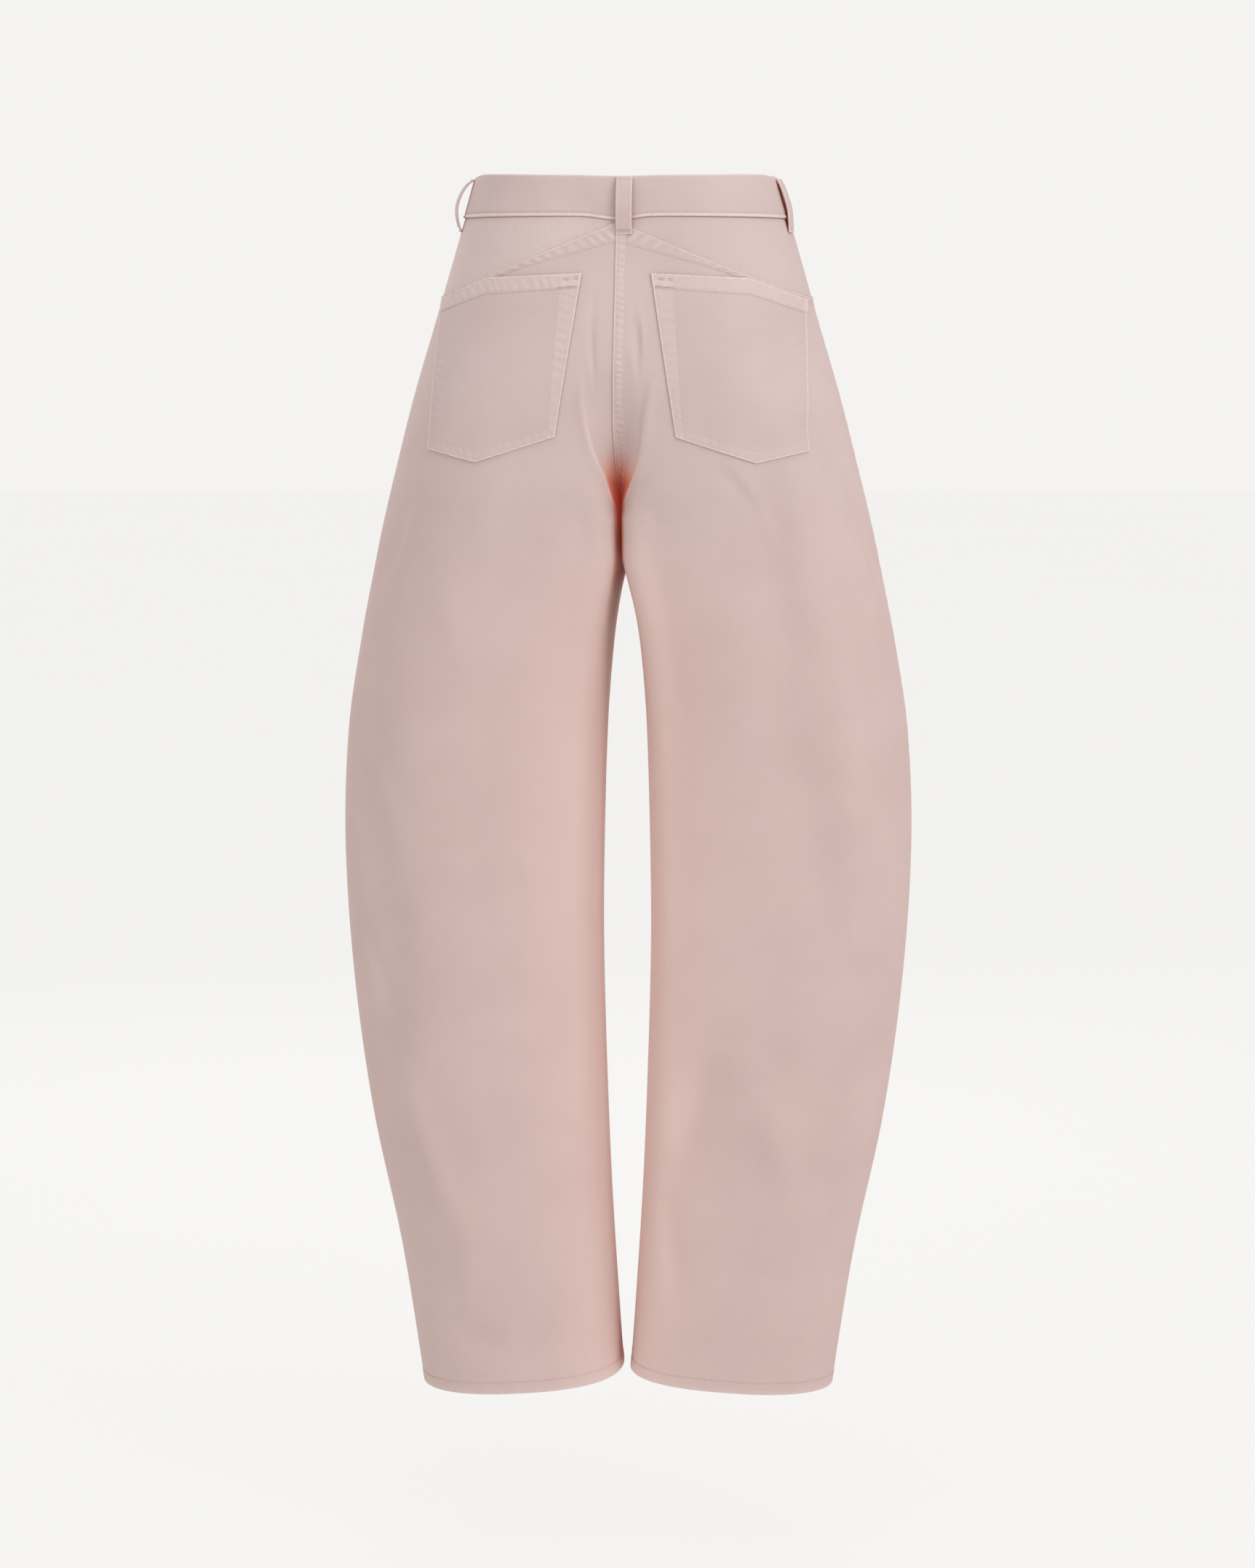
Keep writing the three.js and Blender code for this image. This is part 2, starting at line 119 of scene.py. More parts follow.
# Folds and creases from one end to the other, how wide, and how far out (+) or in (-).
# side is 1 on the wearer's right. w runs from 0 at the widest line to 1 at the inner edge of the
# back, and to -1 at the inner edge of the front. The first 14 are the large ones of the frame.
FOLDS = table("side w0 z0 w1 z1 width rise", [
    (1, 0.4, -215, 0.47, -430, 20, -4),
    (1, 0.47, -430, 0.36, -650, 24, -3.5),
    (1, 0.33, -330, 0.3, -600, 20, 3),
    (1, 0.22, -200, 0.05, -330, 18, -4),
    (1, 0.62, -730, 0.7, -830, 22, -3.5),
    (1, 0.5, -760, 0.4, -860, 18, 3),
    (-1, 0.2, -240, 0.16, -330, 20, -4),
    (-1, 0.14, -390, 0.3, -640, 26, -3.5),
    (-1, 0.3, -640, 0.22, -780, 22, -3.5),
    (-1, 0.3, -760, 0.4, -900, 18, 3),
    (1, -0.3, -230, -0.46, -470, 24, -3.5),
    (1, -0.62, -560, -0.36, -700, 22, -3.5),
    (-1, -0.26, -250, -0.42, -430, 22, -3.5),
    (-1, -0.3, -560, -0.58, -680, 24, -3.5),
    (1, 0.86, -100, 0.76, -128, 9, 0.7),
    (1, 0.9, -104, 0.8, -140, 11, -0.9),
    (1, 0.93, -128, 0.84, -150, 8, 0.5),
    (1, 0.52, -225, 0.46, -262, 6, -0.9),
    (1, 0.47, -228, 0.42, -300, 8, 0.8),
    (1, 0.1, -300, 0.2, -420, 14, 1.2),
    (1, 0.3, -640, 0.42, -760, 16, 1.2),
    (1, 0.74, -860, 0.66, -960, 16, -1.3),
    (1, 0.3, -880, 0.4, -985, 14, 1),
    (-1, 0.86, -96, 0.8, -150, 12, -1),
    (-1, 0.62, -560, 0.64, -592, 4, 0.9),
    (-1, 0.24, -470, 0.34, -560, 10, 1),
    (-1, 0.18, -620, 0.28, -700, 9, -1.2),
    (-1, 0.4, -300, 0.48, -420, 16, 1.1),
    (-1, 0.46, -860, 0.38, -960, 14, 1.1),
    (-1, 0.3, -985, 0.52, -1000, 16, -2),
    (-1, 0.78, -640, 0.72, -800, 16, -1),
    (1, -0.9, -240, -0.62, -215, 8, -1.6),
    (1, -0.76, -262, -0.56, -262, 8, 1.2),
    (1, -0.84, -290, -0.56, -318, 9, -1.4),
    (-1, -0.9, -236, -0.64, -205, 8, -1.4),
    (-1, -0.76, -258, -0.54, -250, 9, 1.1),
    (-1, -0.84, -282, -0.6, -306, 8, -1.5),
    (1, -0.2, -420, -0.3, -560, 12, 1.2),
    (1, -0.5, -740, -0.4, -880, 16, 1.4),
    (-1, -0.22, -470, -0.34, -600, 13, 1.1),
    (-1, -0.56, -760, -0.44, -900, 15, -1.4),
])

# The cleft at the fork: how far its edges lie from the centre on the left and right, by level
CLEFT = table("z left right", [
    (-140, 29, 31), (-182, 25, 24), (-212, 19, 20.5), (-233, 10.8, 14), (-242, 8.3, 10.3),
    (-252, 5.4, 5.8), (-261, 3.2, 2.4), (-275, 2, 1.4), (-300, 2, 1.4), (-325, 6, 5.4), (-340, 8.5, 8),
])

# How far the cloth fills the inner corners of the legs, by depth below the waist
CORNER_FILL = table("down rise", [
    (242, 0), (270, 10), (330, 10), (450, 4.5), (700, 2), (900, 0.5), (1100, 0),
])

# Back pocket corners on the right half, seen from behind
POCKET = {
    "inner_top": (29, -64),
    "merge": (110, -68.5),
    "outer_top": (155, -88),
    "outer_bottom": (161.5, -213),
    "point": (118.5, -222.5),
    "inner_bottom": (51, -200.5),
}
POCKET_HEM = 12.5       # depth of the turned mouth of a back pocket

# Depth of the felled band under the yoke seam, by distance from the centre
FELL = table("x depth", [(0, 15.5), (21, 13), (46, 9.8), (67, 6.8), (87, 5), (110, 5), (170, 6)])

# The edge of the centre back lap lies a little past the centre, by level
LAP = table("z edge", [(-20, 0.8), (-79, 1.2), (-127, 1.9), (-164, 2.6), (-196, 3), (-285, 2.2)])
LAP_WIDTH = 9.6


def grids(*values):
    """Arrays of one shape from numbers and arrays."""
    return np.broadcast_arrays(*(np.asarray(value, float) for value in values))


def lerp(a, b, t):
    return a + (b - a) * t


def smooth(t):
    t = np.clip(t, 0, 1)
    return t * t * (3 - 2 * t)


def below(z, level, run):
    """0 down to a level, and 1 from a run further down."""
    return smooth((level - z) / run)


def above(z, level, run):
    """0 up to a level, and 1 from a run further up."""
    return smooth((z - level) / run)


def arc(t):
    """0 at both ends and 1 in the middle."""
    return np.sin(math.pi * t)


def bell(distance, width):
    """1 at no distance, falling away on both sides."""
    return np.exp(-(distance / width) ** 2)


def column(rows, name, z):
    """Smooth curve through one column of a table, by level."""
    levels, values = rows["z"], rows[name]
    count = len(levels)
    at = np.clip(z, levels[-1], levels[0])
    before = np.maximum(np.arange(count) - 1, 0)
    after = np.minimum(np.arange(count) + 1, count - 1)
    slope = (values[after] - values[before]) / (levels[after] - levels[before])
    i = np.clip(np.searchsorted(-levels, -at, side="right") - 1, 0, count - 2)
    span = levels[i + 1] - levels[i]
    t = (at - levels[i]) / span
    start = (1 + 2 * t) * (1 - t) ** 2 * values[i] + t * (1 - t) ** 2 * span * slope[i]
    end = t * t * (3 - 2 * t) * values[i + 1] + t * t * (t - 1) * span * slope[i + 1]
    return start + end


def solve(falling, shape):
    """Where a falling function crosses zero between 0 and 1."""
    low = np.zeros(shape)
    high = np.ones(shape)
    for _ in range(24):
        middle = (low + high) / 2
        positive = falling(middle) > 0
        low = np.where(positive, middle, low)
        high = np.where(positive, high, middle)
    return low


def bezier(a, b, c, d, t):
    s = 1 - t
    return s * s * s * a + 3 * s * s * t * b + 3 * s * t * t * c + t * t * t * d


def form(w, z):
    """Points of the smooth outer form on the right half, before folds."""
    w, z = grids(w, z)
    back = w >= 0
    toward = np.where(back, -1, 1)
    side = column(SECTIONS, "side", z)
    side_y = column(SECTIONS, "side_y", z)
    far_x = np.where(back, column(SECTIONS, "rear_x", z), column(SECTIONS, "front_x", z))
    far_y = np.where(back, column(SECTIONS, "rear_y", z), column(SECTIONS, "front_y", z))
    a = np.minimum(np.abs(w), 1)

    t = np.minimum(a * 2, 1)
    outer_x = bezier(side, side, far_x + FULLNESS * (side - far_x), far_x, t)
    outer_y = bezier(side_y, side_y + FULLNESS * (far_y - side_y), far_y, far_y, t)

    drop = np.clip((BEND_Z - z) / (BEND_Z - CROTCH_Z), 0, 1)
    leg_y = CROTCH_Y * np.clip(1 - (CROTCH_Z - z) / INSEAM_RUN, 0, 1)
    inner_y = leg_y + (far_y - leg_y) * (1 - drop ** RISE_CURVE) ** (1 / RISE_CURVE)
    gap = np.maximum(column(LEG_GAP, "half", z), SEAM_GAP / 2)
    inner_x = np.where(z < CROTCH_Z, gap, SEAM_GAP / 2)
    turn = math.pi / 2 * smooth(drop)
    run = far_x - inner_x
    at_fork = CORNER["fork"] * below(z, CORNER["seat_z"], CORNER["seat_run"])
    corner = lerp(at_fork, CORNER["leg"], below(z, CROTCH_Z, CORNER["leg_run"]))
    square = FULLNESS + corner
    reach = (FULLNESS + CORNER["depth"] * corner) * np.abs(far_y - leg_y)
    tuck = np.maximum(reach - np.abs(inner_y - leg_y), TUCK * np.abs(far_y - inner_y))
    flat = lerp(FULLNESS, CORNER["seam"], corner / CORNER["fork"])
    handle = flat * run * np.cos(turn) + tuck * np.sin(turn)
    t = np.clip(a * 2 - 1, 0, 1)
    seat_x = bezier(far_x, far_x - square * run, inner_x + np.cos(turn) * handle, inner_x, t)
    seat_y = bezier(far_y, far_y, inner_y + toward * np.sin(turn) * handle, inner_y, t)

    # Near the crotch the section is the leg's own, cut where the rise crosses it
    def leg_x(k):
        return bezier(far_x, far_x - square * run, inner_x, inner_x, k)

    def leg_depth(k):
        return bezier(far_y, far_y, leg_y + toward * reach, leg_y, k)

    cut = solve(lambda k: toward * (leg_depth(k) - inner_y), w.shape)
    pinch = (leg_x(cut) - inner_x) * t ** 3
    share = smooth((drop - 0.7) / 0.25)
    inner_x = lerp(seat_x, leg_x(t * cut) - pinch, share)
    inner_y = lerp(seat_y, leg_depth(t * cut), share)
    x = np.where(a <= 0.5, outer_x, inner_x)
    y = np.where(a <= 0.5, outer_y, inner_y)
    return np.stack([x, y, z], -1)


def fold_rise(side, w, z):
    """How far the folds and creases push the cloth out."""
    rise = np.zeros(w.shape)
    for k in range(len(FOLDS["side"])):
        f = {name: values[k] for name, values in FOLDS.items()}
        along_w = (f["w1"] - f["w0"]) * HALF_GIRTH
        along_z = f["z1"] - f["z0"]
        from_w = (w - f["w0"]) * HALF_GIRTH
        from_z = z - f["z0"]
        t = np.clip((from_w * along_w + from_z * along_z) / (along_w ** 2 + along_z ** 2), 0, 1)
        away = np.hypot(from_w - t * along_w, from_z - t * along_z) / f["width"]
        one = f["rise"] * np.exp(-away * away) * (0.35 + 0.65 * arc(t))
        rise += np.where((side == f["side"]) & (f["w0"] * w >= 0), one, 0)
    return FOLD_DEPTH * rise * smooth((1 - np.abs(w)) / FOLD_FADE) * smooth(np.abs(w) / FOLD_FADE + 0.35)


def cloth(side, w, z, lift=0.0):
    """Points on the garment, lifted off the outer face of the cloth along its normal."""
    side, w, z, lift = grids(side, w, z, lift)
    dw, dz = 0.002, 0.5
    along_w = form(np.minimum(w + dw, 1), z) - form(np.maximum(w - dw, -1), z)
    along_z = form(w, z + dz) - form(w, z - dz)
    normal = np.cross(along_z, along_w)
    normal /= np.linalg.norm(normal, axis=-1, keepdims=True)
    points = form(w, z)
    seat = np.where(w > 0, seat_rise(side * points[..., 0], z), 0)
    corner = corner_rise(points[..., 0], z)
    points = points + normal * (lift + fold_rise(side, w, z) + seat + corner)[..., None]
    points[..., 0] *= side
    return points


def w_at(x, z, face):
    """w of the cloth at a distance from the centre plane, on the back (1) or the front (-1)."""
    x, z = grids(x, z)
    return face * solve(lambda w: form(face * w, z)[..., 0] - x, x.shape)


def w_beside(distance, z, face):
    """w at a distance along the cloth from the centre seam."""
    distance, z = grids(distance, z)
    seam = form(face, z)

    def falling(k):
        return distance - np.linalg.norm(form(face * (1 - k * 0.3), z) - seam, axis=-1)

    return face * (1 - 0.3 * solve(falling, distance.shape))


def front_drop(w):
    """The band falls to the centre front in one even curve."""
    side = SECTIONS["side"][0]
    ahead = np.clip(1 - form(w, BAND["top"])[..., 0] / side, 0, 1)
    return np.where(w < 0, BAND["drop"] * smooth(ahead ** 0.8), 0)


def band_top(w):
    dip = np.where(w > 0, BAND["dip"] * smooth(w), 0)
    return BAND["top"] - front_drop(w) - dip - BAND["corner"] * bell(w, 0.105)


def band_bottom(w):
    arch = np.where(w > 0, BAND["arch"] * arc(w), 0)
    return BAND["top"] - BAND["height"] + arch - front_drop(w)


def hem_level(side, w):
    label = "right" if side > 0 else "left"
    inward = (1 - np.cos(math.pi * w)) / 2
    droop = np.where(w > 0, HEM[f"droop_{label}"] * arc(w), 0)
    return lerp(HEM[f"outer_{label}"], HEM["inner"], inward) - droop


def cleft_edge(x, z):
    """How far inside the edge of the cleft at the fork a point of the back lies."""
    return np.where(x < 0, column(CLEFT, "left", z), column(CLEFT, "right", z)) - np.abs(x)


def cleft_shade_share(x, z):
    """How far a point of the back lies in the painted shade of the cleft at the fork, from 0 to 1."""
    return below(z, -214, 44) * smooth(cleft_edge(x, z) / 1.6 + 0.5) * above(z, -335, 60)


def corner_rise(x, z):
    """The cloth fills the inner corners of the legs, most at the fork."""
    beside = np.abs(x) - np.maximum(column(LEG_GAP, "half", z), SEAM_GAP / 2)
    rise = np.interp(-z, CORNER_FILL["down"], CORNER_FILL["rise"]) * bell(beside - 15, 11.5)
    return np.minimum(rise, 0.88 * np.maximum(beside - 0.3, 0))


def seat_rise(x, z):
    """The cloth of the back stands proud along the edges of the cleft and is sunk between them."""
    inward = cleft_edge(x, z)
    ridge = 1.5 * bell(inward + 3, 4.5) * below(z, -140, 40) * above(z, -268, 30)
    sunk = 2.6 * smooth(inward / 7 + 0.4) * below(z, -138, 50) * above(z, -262, 45)
    return ridge - sunk


def yoke_seam(w):
    z = YOKE["top"] + 0 * w
    for _ in range(6):
        z = YOKE["top"] - YOKE["slope"] * form(w, z)[..., 0]
    return z


def ripple(along, length, seed):
    """Uneven waves along a seam, from -1 to 1."""
    wander = 1.3 * np.sin(along / (length * 1.9) + seed) + 0.8 * np.sin(along / (length * 0.83) + 2 * seed)
    swell = 0.72 + 0.28 * np.sin(along / (length * 1.37) + 3 * seed)
    return np.sin(2 * math.pi * along / length + wander) * swell


def puckers(inward, near, far, along, length, seed, power=1.0):
    """Ladder of puckers, from -1 to 1, between two rows at distances from an edge."""
    span = np.clip((inward - near) / (far - near), 0, 1)
    return ripple(along, length, seed) * arc(span) ** power


def roll(distance, radius):
    """How far a rounded edge falls away at a distance from the edge."""
    t = np.clip(1 - distance / radius, 0, 1)
    return radius * (1 - np.sqrt(1 - t * t))


# Distances from an edge at which the cloth has rows, so that it can be rolled over
EDGE_STEPS = (0, 0.2, 0.5, 1.0, 1.7)


def spread(length, step, keep=()):
    """Shares of a length, with fine steps at both ends and at the marks kept."""
    ends = np.array(EDGE_STEPS)
    count = max(2, round((length - 2 * ends[-1]) / step) + 1)
    middle = np.linspace(ends[-1], length - ends[-1], count)
    marks = np.concatenate([ends, middle, length - ends])
    for mark in keep:
        marks = marks[np.abs(marks - mark) > 0.35]
        marks = np.append(marks, mark)
    return np.unique(np.round(marks, 4)) / length


def plan_of(grid):
    """Distances across and down a grid of points, in metres, so that the weave keeps its size."""
    across = np.zeros(grid.shape[:2])
    down = np.zeros(grid.shape[:2])
    across[:, 1:] = np.cumsum(np.linalg.norm(np.diff(grid, axis=1), axis=-1), axis=1)
    down[1:] = np.cumsum(np.linalg.norm(np.diff(grid, axis=0), axis=-1), axis=0)
    across -= across[:, [grid.shape[1] // 2]]
    return np.stack([across, -down], -1) * MM


def mesh_object(name, points, faces, material, plan=None, marks=None):
    """Object from points in millimetres, with the face normals turned out."""
    points = np.asarray(points, float)
    faces = np.asarray(faces)
    corners = points[faces]
    halves = [(0, 1, 2), (0, 2, 3)] if faces.shape[1] == 4 else [(0, 1, 2)]
    volume = sum(
        np.einsum("ij,ij->", corners[:, a], np.cross(corners[:, b], corners[:, c])) for a, b, c in halves)
    if volume < 0:
        faces = faces[:, ::-1]
    mesh = bpy.data.meshes.new(name)
    mesh.from_pydata((points * MM).tolist(), [], faces.tolist())
    mesh.polygons.foreach_set("use_smooth", [True] * len(mesh.polygons))
    if plan is not None:
        layer = mesh.uv_layers.new(name="plan")
        layer.data.foreach_set("uv", plan[faces.ravel()].ravel())
    for mark, values in (marks or {}).items():
        attribute = mesh.attributes.new(mark, "FLOAT", "POINT")
        attribute.data.foreach_set("value", np.asarray(values, np.float32).ravel())
    mesh.materials.append(material)
    mesh.update()
    piece = bpy.data.objects.new(name, mesh)
    bpy.context.scene.collection.objects.link(piece)
    return piece


def closed_cloth(name, outer, inner, material, worn=0.0, painted_bounce=0.0, cleft_shade=0.0):
    """One closed piece of cloth between two grids of points, rows by columns."""
    rows, columns = outer.shape[:2]
    count = rows * columns
    ids = np.arange(count).reshape(rows, columns)
    a, b, c, d = ids[:-1, :-1], ids[1:, :-1], ids[1:, 1:], ids[:-1, 1:]
    rim = np.concatenate([ids[0], ids[1:, -1], ids[-1, -2::-1], ids[-2:0:-1, 0]])
    after = np.roll(rim, -1)
    faces = np.concatenate([
        np.stack([a, b, c, d], -1).reshape(-1, 4),
        np.stack([d, c, b, a], -1).reshape(-1, 4) + count,
        np.stack([rim, after, after + count, rim + count], -1),
    ])
    points = np.concatenate([outer.reshape(-1, 3), inner.reshape(-1, 3)])
    plan = np.tile(plan_of(outer).reshape(-1, 2), (2, 1))
    # Marks for the material: wear with painted highlight and light, painted bounce light, painted shade of
    # the cleft
    marks = {"worn": worn, "painted_bounce": painted_bounce, "cleft_shade": cleft_shade}
    marks = {mark: np.tile(np.broadcast_to(v, (rows, columns)).ravel(), 2) for mark, v in marks.items()}
    return mesh_object(name, points, faces, material, plan, marks)


def srgb(red, green, blue):
    """Linear colour from 0 to 255 screen values."""
    parts = [v / 255 for v in (red, green, blue)]
    return tuple(v / 12.92 if v <= 0.04045 else ((v + 0.055) / 1.055) ** 2.4 for v in parts) + (1.0,)


TONES = {
    "patch": srgb(211, 194, 186),
    "grain": srgb(190, 160, 154),
    # painted bounce light on the inner legs
    "painted_bounce": srgb(243, 213, 204),
    # pale wear on edges and ridges, with painted highlight on the cleft's rims and painted light on the left
    # yoke
    "worn": srgb(231, 214, 208),
    # painted shade in creases and hollows
    "hollow_shade": srgb(196, 92, 68),
    # painted shade in the cleft at the fork: pale orange at its edges, dark red further in, with a painted
    # emission there
    "cleft_edge": srgb(232, 172, 148),
    "cleft": srgb(196, 76, 46),
    "cleft_light": srgb(255, 104, 62),
    "sheen": srgb(240, 214, 208),
}
WARMTH = (1.0, 0.962, 0.945, 1.0)       # the legs are this much warmer than the seat


class Nodes:
    """A material's node tree, with short ways to add and link nodes."""

    def __init__(self, name):
        self.material = bpy.data.materials.new(name)
        self.material.use_nodes = True
        self.tree = self.material.node_tree
        self.shader = self.tree.nodes["Principled BSDF"]
        self.place = self.add("TexCoord").outputs["Object"]

    def add(self, kind, inputs=None, **settings):
        node = self.tree.nodes.new("ShaderNode" + kind)
        for key, value in settings.items():
            setattr(node, key, value)
        self.put(node, inputs or {})
        return node

    def put(self, node, values):
        """Links a node's inputs, or sets them."""
        for key, value in values.items():
            if isinstance(value, bpy.types.NodeSocket):
                self.tree.links.new(value, node.inputs[key])
            else:
                node.inputs[key].default_value = value

    def noise(self, where, scale, detail=3.0, roughness=0.55):
        inputs = {"Vector": where, "Scale": scale, "Detail": detail, "Roughness": roughness}
        return self.add("TexNoise", inputs).outputs["Fac"]

    def ranged(self, value, low, high, to_low=0.0, to_high=1.0):
        inputs = {0: value, 1: low, 2: high, 3: to_low, 4: to_high}
        return self.add("MapRange", inputs).outputs[0]

    def mark(self, name):
        return self.add("Attribute", attribute_name=name).outputs["Fac"]

    def maths(self, operation, a, b=0.0):
        return self.add("Math", {0: a, 1: b}, operation=operation).outputs[0]

    def mix(self, share, a, b, blend="MIX"):
        inputs = {0: share, 6: a, 7: b}
        return self.add("Mix", inputs, data_type="RGBA", blend_type=blend).outputs[2]

    def bump(self, height, distance, strength=1.0, normal=None):
        inputs = {"Height": height, "Distance": distance, "Strength": strength}
        if normal is not None:
            inputs["Normal"] = normal
        return self.add("Bump", inputs).outputs[0]

    def surface(self, values):
        self.put(self.shader, values)
        return self.material


def twill_material(name, light, dark, crumple):
    """Washed twill: fine diagonal weave, soft mottling, pale wear on ridges and edges with painted highlight
    and painted light mixed in, painted bounce light on the inner legs, painted shade in hollows and in the
    cleft at the fork.
    """
    n = Nodes(name)
    plan = n.add("UVMap", uv_map="plan").outputs[0]

    mottle = n.ranged(n.noise(n.place, 14, 4), 0.3, 0.7)
    patches = n.ranged(n.noise(n.place, 6, 2), 0.35, 0.65)
    grain = n.ranged(n.noise(plan, 900, 2), 0.25, 0.75)
    colour = n.mix(mottle, dark, light)
    colour = n.mix(n.maths("MULTIPLY", patches, 0.12), colour, TONES["patch"])
    colour = n.mix(n.maths("MULTIPLY", grain, 0.10), colour, TONES["grain"])
    height = n.add("SeparateXYZ", {"Vector": n.place}).outputs[2]
    warmer = n.mix(1.0, colour, WARMTH, "MULTIPLY")
    colour = n.mix(n.ranged(height, -0.16, -0.36), colour, warmer)
    # Painted bounce light: the inner legs are lightened and warmed
    colour = n.mix(n.maths("MULTIPLY", n.mark("painted_bounce"), 0.9), colour, TONES["painted_bounce"])
    uneven = n.ranged(n.noise(plan, 260, 3), 0.25, 0.65, 0.35, 1.0)
    colour = n.mix(n.maths("MULTIPLY", n.mark("worn"), uneven), colour, TONES["worn"])
    # Painted shade: the colour darkens and reddens where the cloth is hemmed in, in creases, under the loops
    # and at the pocket edges
    hollow_shade = n.add("AmbientOcclusion", {"Distance": 0.02}, samples=6).outputs["AO"]
    colour = n.mix(n.ranged(hollow_shade, 0.55, 0.05), colour, TONES["hollow_shade"])
    # Painted shade in the cleft at the fork, with a faint painted emission that lights it though it is no
    # lamp
    sunk = n.mark("cleft_shade")
    colour = n.mix(n.ranged(sunk, 0, 0.5), colour, TONES["cleft_edge"])
    colour = n.mix(n.ranged(sunk, 0.35, 1.0), colour, TONES["cleft"])

    slant = n.add("Mapping", {"Vector": plan, "Rotation": (0, 0, math.radians(58))}).outputs[0]
    wales = n.add("TexWave", {"Vector": slant, "Scale": 520, "Distortion": 0.6, "Detail": 1.0})
    yarns = n.add("TexWave", {"Vector": plan, "Scale": 700, "Distortion": 1.0, "Detail": 1.0})
    weave = n.maths("ADD", wales.outputs["Fac"], n.maths("MULTIPLY", yarns.outputs["Fac"], 0.5))
    normal = n.bump(n.noise(plan, 34, 3), 0.0016, crumple)
    normal = n.bump(n.noise(plan, 150, 3), 0.0004, 0.5, normal)
    return n.surface({
        "Base Color": colour,
        "Normal": n.bump(weave, 0.00012, 0.6, normal),
        "Roughness": n.ranged(mottle, 0, 1, 0.82, 0.93),
        "Specular IOR Level": 0.22,
        "Sheen Weight": 0.25,
        "Sheen Roughness": 0.5,
        "Sheen Tint": TONES["sheen"],
        # painted emission in the cleft at the fork
        "Emission Color": TONES["cleft_light"],
        "Emission Strength": n.ranged(sunk, 0.3, 1.0, 0, 0.09),
    })


def thread_material():
    """Spun polyester thread, a shade paler than the cloth, with a twist."""
    n = Nodes("thread")
    twist = n.noise(n.place, 2600, 1)
    return n.surface({
        "Base Color": n.mix(twist, srgb(205, 176, 170), srgb(226, 204, 198)),
        "Normal": n.bump(twist, 0.0001, 0.5),
        "Roughness": 0.6,
        "Sheen Weight": 0.15,
    })


def metal_material():
    """Aged satin metal with fine scratches and a mottled tone."""
    n = Nodes("button_metal")
    wear = n.noise(n.place, 500, 4)
    return n.surface({
        "Base Color": n.mix(wear, srgb(120, 104, 90), srgb(176, 158, 140)),
        "Metallic": 1.0,
        "Roughness": n.ranged(wear, 0.3, 0.7, 0.32, 0.5),
        "Normal": n.bump(n.noise(n.place, 1800, 2), 0.00005, 0.4),
    })


TWILL = twill_material("twill", srgb(215, 193, 189), srgb(209, 186, 182), 0.35)
WORKED = twill_material("worked_twill", srgb(211, 190, 187), srgb(205, 183, 180), 0.3)
THREAD = thread_material()
METAL = metal_material()

SIDES = {"right": 1, "left": -1}
SEEDS = {"right": 2.0, "left": 4.7}     # where the puckers of each side start
PAINTED_BOUNCE_SHARE = {1: 1.0, -1: 0.55}         # painted bounce light that lightens and warms the inner legs, by side
# Wear on each yoke; the left yoke is paler still by painted light, which lifts it out of the key lamp's
# shade
YOKE_WEAR_AND_PAINTED_LIGHT = {1: 0.1, -1: 0.32}


def keep(piece, slot, *nodes):
    """A finished piece rides on the one body and stands for its nodes."""
    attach(piece, "root")
    if nodes:
        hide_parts(*nodes)
    return piece


def hem_relief(up, along, seed):
    """Turned hem: proud of the leg, roped by its stitching, with the stitched line above it."""
    turned = 0.35 * smooth((HEM["depth"] + 0.8 - up) / 1.6)
    roped = 0.28 * ripple(along + 0.9 * up, 9.5, seed) * smooth(up / 2) * smooth((HEM["depth"] - up) / 3)
    pulled = 0.22 * ripple(along - 0.5 * up, 12, seed + 1) * bell(up - HEM["depth"] - 4, 3.5)
    return turned + roped + pulled - 0.3 * bell(up - HEM["depth"], 0.9)


